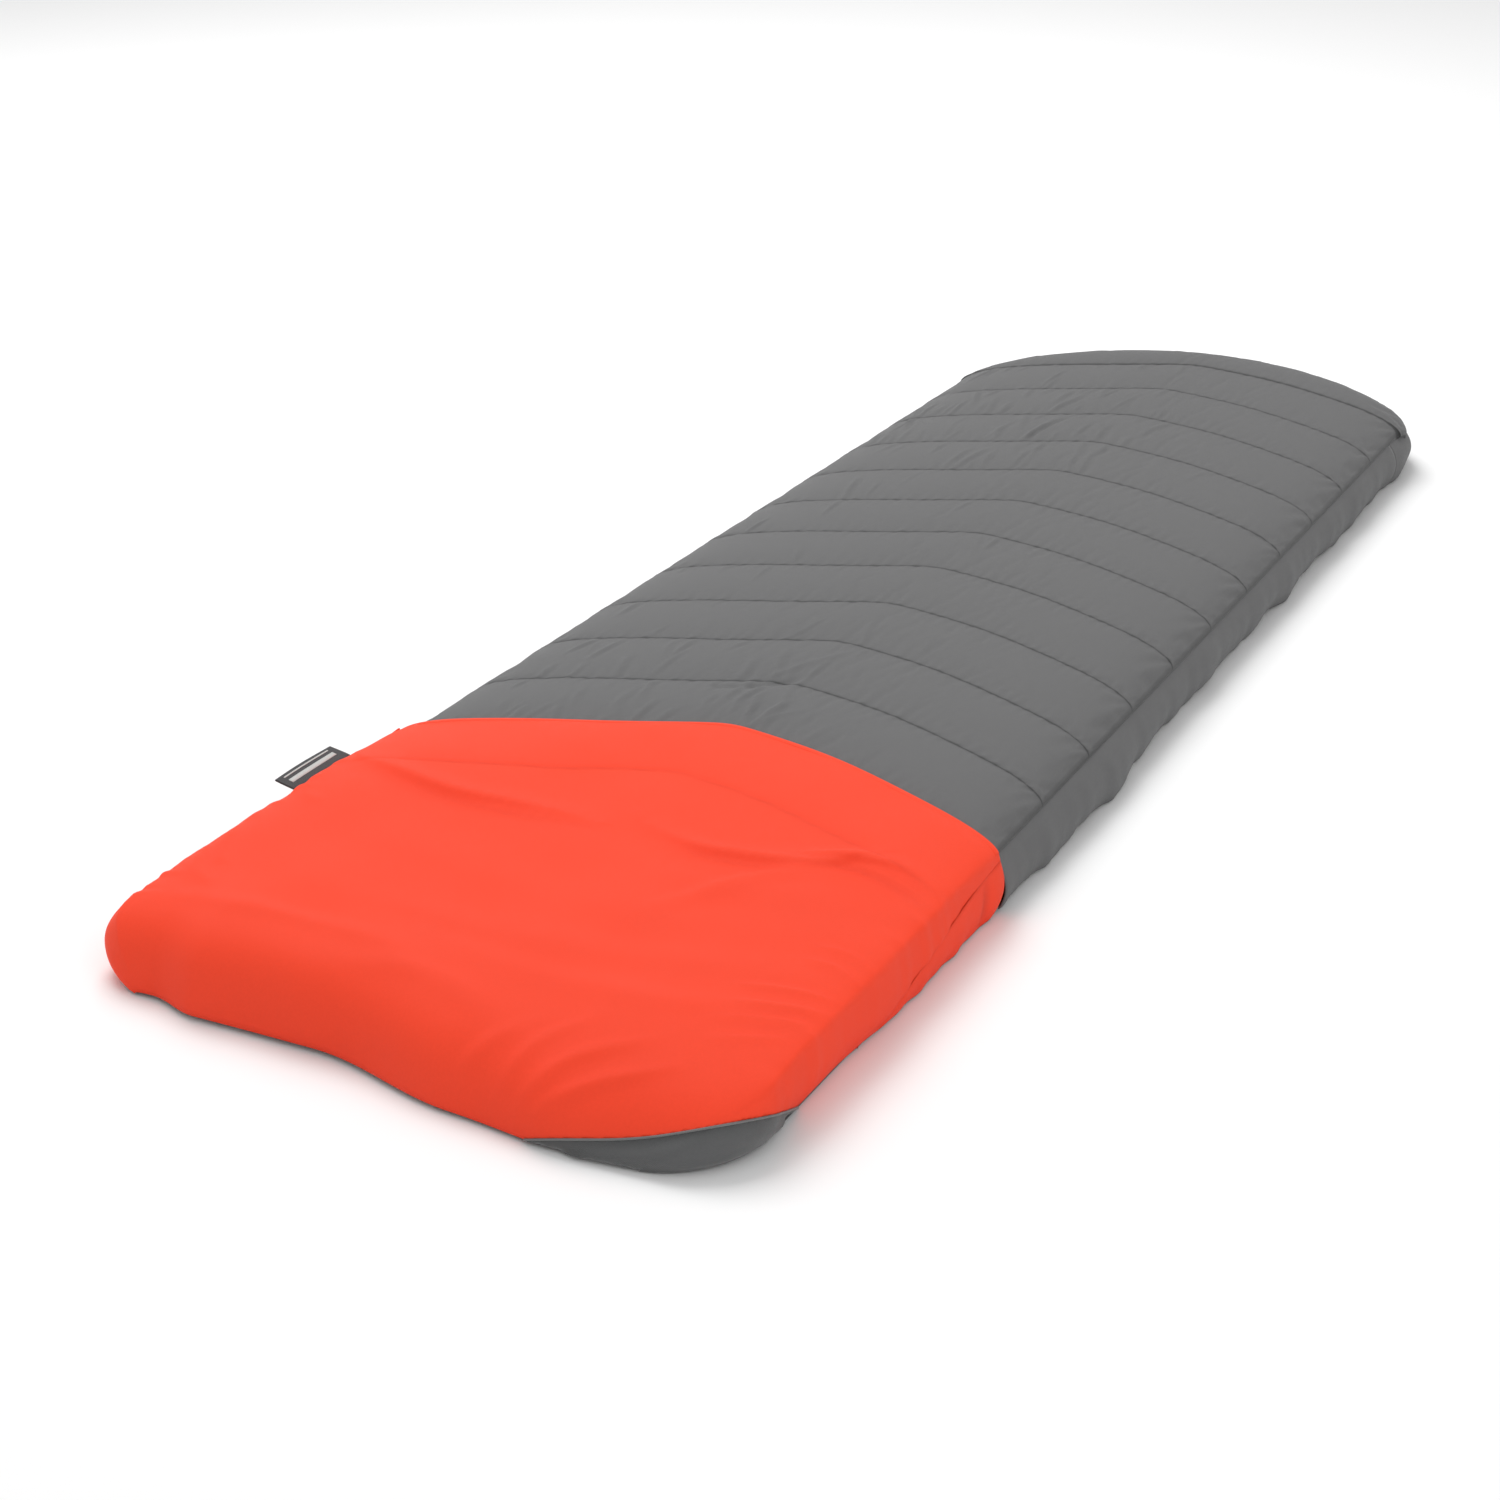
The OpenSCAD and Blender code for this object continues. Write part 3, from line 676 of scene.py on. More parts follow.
def build_quilt():
    """The quilted top: a finely shaped outer face over a plain underside."""
    u = spread_columns(QUILT_COLUMNS)[None, :]
    s = np.linspace(-1, 1, QUILT_COLUMNS)[None, :]
    place, channel, phase = quilt_rows()
    w, c, p = place[:, None], channel[:, None], phase[:, None]
    y = quilt_y(u, w, c, p) + 0 * u
    x = u * half_width(y, u)
    tucked = 0.0035 * (1 - smooth((w - MOUTH_Y + 0.006) / 0.010))
    lean = QUILT_LEAN * smooth((y - MOUTH_Y + 0.05) / 0.06)
    x = x - np.sign(u) * lean * np.abs(u) ** 8 * (c < SEAM_COUNT)
    y = y - QUILT_LEAN * np.where(c == SEAM_COUNT, p**4, 0)
    base = np.stack([x, y, roof(u, y, edge_z(u, y), VALLEY_Z - tucked + 0 * y)], axis=2)
    normal = grid_normals(base)

    far = np.minimum(p, np.where(c == SEAM_COUNT, 1.0, 1 - p)) * SEAM_PITCH + 0 * u
    swell = swollen(base, normal, u, p, c, w)
    rise = np.zeros_like(x)
    for k in range(SEAM_COUNT + 1):
        rows = np.flatnonzero(channel == k)
        rise[rows] += 0.0003 * pucker_row(x[rows], far[rows], 100 + k)
    rise += quilt_wrinkles(x, place, channel) * smooth(far / 0.004) * (w > MOUTH_Y)
    for path, widths, height in QUILT_FOLDS:
        rise += fold(x, y, path, widths, height) * (w > MOUTH_Y - 0.002)
    rise *= np.maximum(0, 1 - np.abs(s) ** 26)
    top = base + swell + normal * rise[..., None]
    top[..., 2] = np.maximum(top[..., 2], 0.02)

    under_columns = np.arange(0, QUILT_COLUMNS, UNDER_STEP)
    uu = u[:, under_columns]
    yy = y[:, under_columns]
    inset = np.where(np.abs(uu) > 0.999, 0.004, 0.0)
    under = np.stack([uu * (half_width(yy, uu) - inset), yy - 0.003 * (p == 1.0),
                      roof(uu, yy, edge_z(uu, yy) - 0.0032, 0.0668)], axis=2)

    points = np.concatenate([top.reshape(-1, 3), under.reshape(-1, 3)])
    piece = make_mesh("quilt_top", points, quilt_faces(*top.shape[:2], under_columns))
    # Painted shade: a dark line along each seam's valley, partly painted shade and partly the thread's
    # own dark colour; a painted shadow cast by the pocket's edge onto the quilt; and darker shade
    # along the side edges where the quilt turns into the wall's seam.
    line = np.where(c == SEAM_COUNT, p, np.minimum(p, 1 - p)) * SEAM_PITCH + 0 * u
    painted_shade = 0.92 * bell(line / 0.0012) + 0.12 * bell(line / 0.004)
    painted_shade = np.where(w < MOUTH_Y - 0.003, 0, painted_shade)
    painted_shade = np.maximum(painted_shade, 0.9 * bell((w - MOUTH_Y - 0.0012) / 0.0016))
    painted_shade = np.maximum(painted_shade, 0.5 * smooth((np.abs(s) - 0.985) / 0.015))
    paint(piece, "painted_shade", np.concatenate([painted_shade.ravel(), np.zeros(under.shape[0] * under.shape[1])]))
    dress(piece, quilt_cloth, ["quilt_shell", "quilt_fill", "quilt_lining"])
    seams = []
    for k in range(1, SEAM_COUNT + 1):
        row = np.abs(place - (MOUTH_Y + k * SEAM_PITCH)).argmin()
        seams.append(top[row, 3:-3] - np.array([0, 0, 0.0001]))
    stitches("quilt_stitches", seams, grey_thread, ["quilt_stitching"], radius=0.0004)


# --- Foot pocket ---
POCKET_COLUMNS = 241
WALL_COLUMNS = 17
TOE_ROWS = 36
POCKET_ROWS = 146
CLOTH = 0.0012

# Creases in the pocket: points along each, reach to its left and right, height
# Many points were taken from the photo, turned into metres with the fitted camera and then
# moved one by one.
POCKET_FOLDS = [
    ([(-0.285, -0.530), (-0.255, -0.552), (-0.156, -0.585), (-0.082, -0.588), (-0.005, -0.590)],
     (0.016, 0.0045), 0.0052),
    ([(-0.265, -0.562), (-0.156, -0.597), (-0.060, -0.602), (0.010, -0.600)], (0.004, 0.016), -0.0026),
    ([(0.020, -0.570), (0.076, -0.592), (0.123, -0.593), (0.180, -0.580), (0.222, -0.545)],
     (0.013, 0.0045), 0.0050),
    ([(0.070, -0.604), (0.125, -0.605), (0.180, -0.594)], (0.004, 0.012), -0.0022),
    ([(0.100, -0.705), (0.123, -0.668), (0.152, -0.620), (0.190, -0.580)], (0.009, 0.014), 0.0030),
    ([(0.160, -0.572), (0.205, -0.560), (0.245, -0.556), (0.290, -0.575)], (0.011, 0.0040), 0.0048),
    ([(0.175, -0.580), (0.225, -0.572), (0.290, -0.590)], (0.0035, 0.010), -0.0030),
    ([(-0.040, -0.575), (0.080, -0.640), (0.160, -0.640), (0.270, -0.610)], (0.016, 0.020), 0.0020),
    ([(-0.230, -0.640), (-0.090, -0.690), (0.090, -0.710), (0.260, -0.670)], (0.030, 0.024), 0.0020),
    ([(-0.030, -0.815), (0.080, -0.822), (0.190, -0.812), (0.290, -0.775)], (0.014, 0.012), 0.0026),
    ([(-0.150, -0.770), (0.010, -0.782), (0.150, -0.765), (0.280, -0.725)], (0.022, 0.016), 0.0024),
    ([(0.215, -0.772), (0.250, -0.762), (0.289, -0.750)], (0.0040, 0.006), 0.0022),
    ([(0.222, -0.795), (0.258, -0.784), (0.288, -0.770)], (0.0040, 0.006), 0.0022),
    ([(0.215, -0.820), (0.252, -0.806), (0.287, -0.790)], (0.0035, 0.006), 0.0022),
    ([(0.225, -0.842), (0.255, -0.830), (0.284, -0.812)], (0.0035, 0.005), 0.0020),
    ([(0.238, -0.715), (0.265, -0.712), (0.292, -0.722)], (0.004, 0.008), 0.0020),
    ([(0.240, -0.690), (0.268, -0.690), (0.292, -0.700)], (0.003, 0.006), 0.0014),
    ([(-0.289, -0.740), (-0.270, -0.780), (-0.235, -0.820)], (0.006, 0.010), 0.0026),
    ([(-0.288, -0.705), (-0.272, -0.742), (-0.245, -0.770)], (0.005, 0.009), 0.0020),
    ([(-0.288, -0.600), (-0.272, -0.625), (-0.240, -0.642)], (0.005, 0.008), 0.0018),
    ([(-0.262, -0.860), (-0.170, -0.845), (-0.070, -0.850), (0.010, -0.868)], (0.018, 0.012), 0.0034),
    ([(-0.080, -0.885), (0.010, -0.862), (0.090, -0.874)], (0.010, 0.012), 0.0028),
    ([(0.120, -0.915), (0.150, -0.880), (0.205, -0.850)], (0.0045, 0.007), 0.0028),
    ([(0.128, -0.920), (0.172, -0.893), (0.232, -0.868)], (0.0040, 0.006), 0.0024),
    ([(0.100, -0.915), (0.118, -0.878), (0.150, -0.845)], (0.0045, 0.007), 0.0022),
    ([(0.060, -0.918), (0.085, -0.885), (0.110, -0.862)], (0.005, 0.009), 0.0020),
]


def pocket_crown(w):
    """Height of the pocket on its centre line: it follows the quilt under its mouth."""
    t = (w - MOUTH_Y) / SEAM_PITCH
    swell = 0.0040 * np.power(np.clip(-4 * t * (1 + t), 0, 1), 0.6)
    flat = 0.0750 - 0.0030 * smooth((-t - 1.0) / 1.5)
    return np.where(t > -1, 0.0750 + swell, flat)


def pocket_gore_z(y):
    """Height of the side gore's seam."""
    t = np.clip((MOUTH_Y - y) / GORE_LEN, 0, 1)
    return POCKET_LOW_Z + (GORE_TOP_Z - POCKET_LOW_Z) * (1 - t**1.6)


def pocket_top_z(u, y):
    """Height of the pocket's upper face."""
    return roof(u, y, edge_z(u, y) + 0.001, pocket_crown(y - chevron(u))) + 0.0006


def pocket_outline(u, y, drop):
    """Half width of the pocket's side wall, where drop goes from 0 at its top to 1 at the ground."""
    tuck = 0.004 + 0.009 * smooth((-0.63 - y) / 0.12) * (np.asarray(u) > 0)
    belly = 0.0035 * np.sin(math.pi * np.clip(drop, 0, 1)) - tuck * np.clip(drop, 0, 1) ** 2
    corner = bell((y - TOE_Y - 0.045) / 0.055) * (np.asarray(u) < 0)
    belly = belly * toe_fall(u, y) + 0.013 * corner * np.sin(math.pi * np.clip(drop, 0, 1))
    return half_width(y, u) + POCKET_HW - FOOT_HW + belly


def pocket_rows(u):
    """Where the rows lie, from the toe's roll to the chevron of the mouth."""
    angle = np.linspace(88, 0, TOE_ROWS, endpoint=False)
    toe = TOE_START_Y - TOE_ROLL * np.sin(np.radians(angle))
    t = np.linspace(0, 1, POCKET_ROWS)[:, None]
    body = TOE_START_Y * (1 - t) + (MOUTH_Y - 0.0005 + chevron(u)) * t
    return np.concatenate([toe[:, None] + 0 * u, body])


def build_pocket():
    """The pocket's skin without its thickness: top, toe roll and both side walls."""
    top_u = spread_columns(POCKET_COLUMNS)
    drop = np.linspace(0, 1, WALL_COLUMNS)[1:]
    u = np.concatenate([-np.ones(WALL_COLUMNS - 1), top_u, np.ones(WALL_COLUMNS - 1)])[None, :]
    down = np.concatenate([drop[::-1], np.zeros(POCKET_COLUMNS), drop])[None, :]
    y = pocket_rows(u)
    w = y - chevron(u)
    z_top = pocket_top_z(u, y)
    z = z_top + (pocket_gore_z(y) - z_top) * down
    fallen = 1 - z / np.maximum(z_top, 0.004)
    x = u * pocket_outline(u, y, np.where(down > 0, fallen, 0))
    grid = np.stack([x, y, z], axis=2)
    normal = grid_normals(grid)
    rise, crevice = np.zeros_like(x), np.zeros_like(x)
    for path, widths, height in POCKET_FOLDS:
        crease = fold(x, y, path, widths, height)
        rise += crease
        crevice = np.maximum(crevice, -crease / 0.0030)
    seam = np.abs(w - (MOUTH_Y - SEAM_PITCH))
    rise -= 0.0005 * bell(seam / 0.0026) * (1 - np.abs(u) ** 8)
    rise += 0.0011 * waves(x + 0.5 * y, [(1, 0.19, 0.3), (0.6, 0.11, 1.2)]) * waves(y, [(1, 0.15, 2)])
    quiet = smooth((MOUTH_Y + chevron(u) - y) / 0.02)
    edge_gather = waves(y, [(1, 0.031, 0.2), (0.8, 0.067, 1.1), (0.5, 0.019, 2.0)])
    edge_gather *= 0.5 + 0.5 * waves(y, [(1, 0.21, 1.0)])
    rise += 0.0006 * edge_gather * bell((1 - np.abs(u)) / 0.06) * quiet
    rise *= np.maximum(quiet, 0.15) * smooth(z / 0.02)
    grid = bend_toe(grid + normal * rise[..., None])
    grid[..., 2] = np.maximum(grid[..., 2], POCKET_LOW_Z)

    skin = make_mesh("pocket_skin", grid.reshape(-1, 3), grid_quads(*grid.shape[:2]))
    # Painted shade along the faint seam line under the pocket and in the valleys of its creases.
    painted_shade = 0.16 * bell(seam / 0.0018) * (1 - np.abs(u) ** 6) + 0.10 * crevice
    paint(skin, "painted_shade", painted_shade)
    return skin


CORNER_X = 0.152
CORNER_Y = 0.124
CORNER_Z = 0.004
CORNER_TILT = math.radians(28)
PIPING_R = 0.0009
PIPING_OUT = np.array([0.0006, -0.0006, 0.0])


def corner_plane():
    """A point and the upward normal of the plane that cuts off the toe corner."""
    turn = Matrix.Rotation(math.atan2(CORNER_Y, CORNER_X), 3, "Z")
    tilt = Matrix.Rotation(-CORNER_TILT, 3, "X")
    return Vector((POCKET_HW - CORNER_X, TOE_Y, CORNER_Z)), turn @ tilt @ Vector((0, 0, 1))


def seam_sag(p):
    """How far the toe corner's seam hangs below its plane."""
    return 0.006 * math.exp(-(((p.x - POCKET_HW + 0.075) / 0.055) ** 2))


def split_at_corner(skin):
    """Cuts the pocket's skin along the corner plane and returns both parts and the cut line."""
    point, up = corner_plane()
    parts = []

    def in_corner(face):
        centre = face.calc_center_median()
        return centre.x > POCKET_HW - CORNER_X - 0.02 and centre.y < TOE_Y + CORNER_Y + 0.06

    for keep_above in (True, False):
        work = bmesh.new()
        work.from_mesh(skin.data)
        for v in work.verts:
            v.co.z += seam_sag(v.co)
        near = [f for f in work.faces if in_corner(f)]
        geometry = set(near)
        for f in near:
            geometry.update(f.edges)
            geometry.update(f.verts)
        cut = bmesh.ops.bisect_plane(work, geom=list(geometry), plane_co=point, plane_no=up)
        line = [e for e in cut["geom_cut"] if isinstance(e, bmesh.types.BMEdge)]
        cut_edges = [tuple(v.co.copy() for v in e.verts) for e in line]
        seam = ordered([tuple(p - Vector((0, 0, seam_sag(p))) for p in e) for e in cut_edges])
        below = [f for f in work.faces
                 if in_corner(f) and (f.calc_center_median() - point).dot(up) < 0]
        doomed = below if keep_above else list(set(work.faces) - set(below))
        bmesh.ops.delete(work, geom=doomed, context="FACES")
        for v in work.verts:
            v.co.z -= seam_sag(v.co)
        mesh = bpy.data.meshes.new("cut")
        work.to_mesh(mesh)
        work.free()
        parts.append(mesh)
    return parts[0], parts[1], seam


def ordered(edges):
    """Joins loose edges into the longest single run of points."""
    key = lambda p: (round(p.x, 6), round(p.y, 6), round(p.z, 6))
    links, spot = {}, {}
    for a, b in edges:
        links.setdefault(key(a), []).append(key(b))
        links.setdefault(key(b), []).append(key(a))
        spot[key(a)], spot[key(b)] = a, b
    best = []
    for start in [k for k, v in links.items() if len(v) == 1]:
        run, last = [start], None
        while True:
            nxt = [k for k in links[run[-1]] if k != last and k not in run]
            if not nxt:
                break
            last = run[-1]
            run.append(nxt[0])
        if len(run) > len(best):
            best = run
    return np.array([spot[k] for k in best], float)


def thicken(piece, thickness):
    """Gives a skin its thickness, inwards."""
    solid = piece.modifiers.new("cloth", "SOLIDIFY")
    solid.thickness = thickness
    solid.offset = -1
    apply_modifiers(piece)


def build_foot_panels(skin):
    """The orange top, the grey toe corner and the piping in the seam between them."""
    above, below, seam = split_at_corner(skin)
    top, corner = in_scene("pocket_top", above), in_scene("toe_corner", below)
    bpy.data.objects.remove(skin)
    gather_corner(corner, seam)
    for piece in (top, corner):
        thicken(piece, CLOTH)
        shade_smooth(piece.data)
    dress(top, orange_cloth, ["foot_top_panel"])
    dress(corner, stretch_cloth, ["toe_corner_panel"])
    points, faces = tube(spaced(seam, 0.003) + PIPING_OUT, PIPING_R, 8)
    dress(make_mesh("toe_piping", points, faces), piping_cloth, ["toe_corner_piping"])


def gather_corner(corner, seam):
    """The stretch panel bulges between its edges and is pinched into pleats at both ends."""
    co = np.array([v.co for v in corner.data.vertices], float)
    normals = np.array([v.normal for v in corner.data.vertices], float)
    line = spaced(seam, 0.004)
    away = np.linalg.norm(co[:, None] - line[None], axis=2)
    gap = away.min(1)
    share = away.argmin(1) / (len(line) - 1)
    middle = np.sin(math.pi * share) ** 0.6
    rise = 0.004 * smooth(gap / 0.015) * smooth(co[:, 2] / 0.012) * middle
    for end in (0, -1):
        from_end = np.linalg.norm(co - line[end], axis=1)
        pleats = waves(gap, [(1.0, 0.011, 0.5), (0.6, 0.006, 1.0)])
        rise += 0.0022 * pleats * bell(from_end / 0.045) * smooth(gap / 0.004)
    co += normals * rise[:, None]
    corner.data.vertices.foreach_set("co", co.ravel())
    # Painted shade: darker next to the seam with the piping, where the orange edge overhangs, and
    # darker towards the ground.
    painted_shade = 0.30 * bell(gap / 0.006) + 0.25 * smooth((0.012 - co[:, 2]) / 0.012)
    layer = corner.data.attributes["painted_shade"]
    layer.data.foreach_set("value", painted_shade.astype(np.float32))
    corner.data.update()


def build_gore(side, name, node_name):
    """The side gore: a triangle of cloth between the pocket's side seam and the ground."""
    rows, cols = 26, 74
    along = np.linspace(0, 1, cols)[None, :]
    y = MOUTH_Y - GORE_LEN + GORE_LEN * along + np.zeros((rows, 1))
    v = np.linspace(0, 1, rows)[:, None]
    top = pocket_gore_z(y) - 0.0002
    z = POCKET_LOW_Z + (top - POCKET_LOW_Z) * v
    x = pocket_outline(side, y, 1 - z / pocket_top_z(side, y)) - 0.0004
    span = smooth((top - POCKET_LOW_Z) / 0.02)
    x += 0.0016 * np.sin(math.pi * v) * span
    mouth = (MOUTH_Y - y) / 0.016
    x += 0.0024 * bell((mouth - 0.7) / 0.8) * np.sin(math.pi * np.clip(v * 0.9 + 0.1, 0, 1))
    x += 0.0008 * waves(y, [(1, 0.062, 0.4), (0.7, 0.034, 2.0)]) * (1 - v) * span
    x -= 0.0022 * bell((mouth - 2.1) / 0.5) * np.sin(math.pi * v)
    grid = bend_toe(np.stack([side * x, y, z], axis=2))
    # Painted shade: a dark strip in the hollow by the mouth where the hem folds back, and along the
    # gore's top edge under the seam.
    fade = 0.30 * bell((mouth - 2.1) / 0.35) * np.sin(math.pi * v) + 0.35 * bell((v - 1) / 0.04)
    if side < 0:
        grid, fade = grid[:, ::-1], fade[:, ::-1]
    piece = sheet_piece(name, grid, CLOTH, orange_cloth, [node_name])
    paint(piece, "painted_shade", np.concatenate([fade.ravel(), fade.ravel()]))


def build_binding():
    """The pocket's turned edge, which lies on the quilt along the chevron."""
    u = (spread_columns(POCKET_COLUMNS) * 0.997)[None, :]
    step = np.array([-0.0085, -0.0070, -0.0040, -0.0015, 0.0003, 0.0006])[:, None]
    lift = np.array([-0.0004, 0.0003, 0.0005, 0.0005, 0.0000, -0.0014])[:, None]
    w = MOUTH_Y + step + 0 * u
    y = w + chevron(u)
    z = roof(u, y, edge_z(u, y) + 0.001, pocket_crown(np.minimum(w, MOUTH_Y))) + 0.0006
    x = u * (half_width(y, u) + POCKET_HW - FOOT_HW)
    grid = np.stack([x, y, z], axis=2)
    grid += grid_normals(grid) * lift[..., None]
    sheet_piece("pocket_edge", grid, CLOTH, orange_cloth, ["pocket_edge_binding"])


# --- Side walls ---
WALL_STEP = 0.004
WALL_ROWS = 17
PORT_R = 0.0128


def rim_path():
    """The cover's outline from the right side of the pocket's mouth round the head to the left."""
    y = np.array([MOUTH_Y, HEAD_START_Y])
    right = np.stack([half_width(y, 1), y], axis=1)
    u = np.sin(np.linspace(math.pi / 2, -math.pi / 2, 161))
    head = np.stack([u * head_hw(u), head_edge(u)], axis=1)
    left = np.stack([-half_width(y, -1), y], axis=1)[::-1]
    return np.concatenate([right[:-1], head, left[1:]])


def wall_grid():
    """Rows from the ground up to the quilt's seam, columns along the rim."""
    rim = spaced(rim_path(), WALL_STEP)
    far = np.arange(len(rim)) * WALL_STEP
    along = np.gradient(rim, axis=0)
    along /= np.linalg.norm(along, axis=1, keepdims=True)
    out = np.stack([along[:, 1], -along[:, 0]], axis=1)
    v = np.linspace(0, 1, WALL_ROWS)[:, None]
    u = np.clip(rim[:, 0] / HEAD_HW, -1, 1)
    at_head = smooth((rim[:, 1] - HEAD_START_Y) / 0.12)
    top = edge_z(u, rim[:, 1]) - HEAD_DROP * at_head - 0.0006
    ripple = waves(far, [(0.0016, 0.236, 0.6), (0.0013, 0.131, 2.2), (0.0011, 0.083, 0.9)])
    fine = waves(far, [(0.0006, 0.047, 1.3), (0.0004, 0.029, 0.2)])
    lift = 0.0034 + waves(far, [(0.0018, 0.171, 1.0), (0.0012, 0.104, 3.0)])
    z = lift[None] + (top - lift)[None] * v
    belly = 0.0050 * np.sin(math.pi * v) ** 0.8 - 0.0025 * v**6
    tuck = -0.0040 * (1 - v) ** 3
    flare = 0.010 * bell((rim[:, 1] + 0.27) / 0.14) * (rim[:, 0] > 0)
    push = belly + tuck + (ripple + flare)[None] * (1 - v) ** 0.8 + fine[None] * (1 - v)
    push = push - (0.0008 + QUILT_LEAN) * v**3 + 0.0022 * at_head * v**6
    xy = rim[None] + out[None] * push[..., None]
    grid = np.concatenate([xy, z[..., None]], axis=2)
    return grid[:, ::-1], rim[::-1], out[::-1]


def side_spans(rim):
    """The runs of columns along the left side, round the head and along the right side."""
    first, last = np.flatnonzero(rim[:, 1] > HEAD_START_Y)[[0, -1]]
    return {"left": slice(0, first + 1), "head": slice(first, last + 1),
            "right": slice(last, len(rim))}


def build_walls():
    """The three side walls. The one at the head has the valve's opening."""
    grid, rim, out = wall_grid()
    for side, span in side_spans(rim).items():
        points, faces = closed_sheet(grid[:, span], CLOTH)
        piece = make_mesh("gusset_" + side, points, faces)
        if side == "head":
            cut_port(piece)
        dress(piece, gusset_cloth, [side + "_gusset"])
    return grid, rim, out


def cut_port(piece):
    """Opens the head wall round the valve."""
    low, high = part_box("valve_base")
    centre = Vector(((low.x + high.x) / 2, high.y, (low.z + high.z) / 2))
    bore = bmesh.new()
    bmesh.ops.create_cone(bore, cap_ends=True, segments=48, radius1=PORT_R, radius2=PORT_R,
                          depth=0.08, matrix=Matrix.Translation(centre)
                          @ Matrix.Rotation(math.pi / 2, 4, "X"))
    mesh = bpy.data.meshes.new("bore")
    bore.to_mesh(mesh)
    bore.free()
    tool = in_scene("bore", mesh)
    cut = piece.modifiers.new("port", "BOOLEAN")
    cut.object = tool
    cut.operation = "DIFFERENCE"
    apply_modifiers(piece)
    bpy.data.objects.remove(tool)
    shade_smooth(piece.data)


HEM_W = 0.026
HEAD_HEM_W = 0.017


def build_hems(grid, rim, out):
    """The hem turns under from the wall's lower edge and is gathered by its elastic."""
    foot = grid[0]
    count = len(rim)
    far = np.arange(count) * WALL_STEP
    width = np.where(rim[:, 1] > HEAD_START_Y, HEAD_HEM_W, HEM_W)
    width = np.convolve(np.pad(width, 6, mode="edge"), np.ones(13) / 13, mode="valid")
    t = np.linspace(0, 1, 9)[:, None]
    gather = waves(far, [(0.0005, 0.015, 0.3), (0.0004, 0.022, 1.9)])
    inward = rim - out * 0.002
    xy = inward[None] - out[None] * (width[None] * t)[..., None]
    xy[0] = foot[:, :2] - out * 0.0008
    z = 0.0019 + (foot[:, 2] - 0.0019)[None] * (1 - t) ** 3 + gather[None] * np.sin(math.pi * t)
    z = np.maximum(z, 0.0013)
    sheet_grid = np.concatenate([xy, z[..., None]], axis=2)
    for side, span in side_spans(rim).items():
        piece = sheet_piece("hem_" + side, sheet_grid[:, span][:, ::-1], -0.0011, gusset_cloth,
                            [side + "_hem", side + "_hem_elastic"])
    inner = sheet_grid[6] - np.array([0, 0, 0.0002])
    stitches("hem_stitches", inner, grey_thread)
    seam = grid[-1] + np.concatenate([out * 0.0016, np.full((count, 1), -0.0022)], axis=1)
    stitches("wall_stitches", seam, grey_thread, radius=0.0004)


# --- Underside and pad ---
def build_base_panel():
    """Flat cloth under the foot pocket, drawn from rows that follow the toe's outline."""
    toe_y = TOE_Y + 0.008
    s = np.linspace(-1, 1, 97)[None, :]
    turn = np.radians(np.linspace(88, 0, 20, endpoint=False))
    toe = toe_y + TOE_CORNER_R * (1 - np.sin(turn))
    y = np.concatenate([toe, np.linspace(toe_y + TOE_CORNER_R, MOUTH_Y, 60)])[:, None]
    x = s * (half_width(y, s) - 0.010)
    z = 0.0004 + 0.0006 * waves(x, [(0.5, 0.11, 0.3), (0.4, 0.047, 1.0)]) * np.abs(s) ** 3
    grid = bend_toe(np.stack([x, y + 0 * s, np.maximum(z, 0.0) + 0 * s], axis=2))
    piece = sheet_piece("base_panel", grid + np.array([0, 0, CLOTH]), CLOTH, base_cloth,
                        ["foot_base_panel"])

    low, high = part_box("base_panel_elastic")
    span = np.linspace(low.x, high.x, 161)[None, :]
    across = np.linspace(0, 1, 7)[:, None]
    y = low.y - 0.001 + (high.y - low.y) * across + 0 * span
    z = 0.0016 + 0.0004 * np.sin(math.pi * across) * (1 + 0.5 * np.sin(span * 2 * math.pi / 0.009))
    band = np.stack([span + 0 * y, y, z - 0.0004], axis=2)
    sheet_piece("base_elastic", band, CLOTH, elastic_cloth, ["base_panel_elastic"])


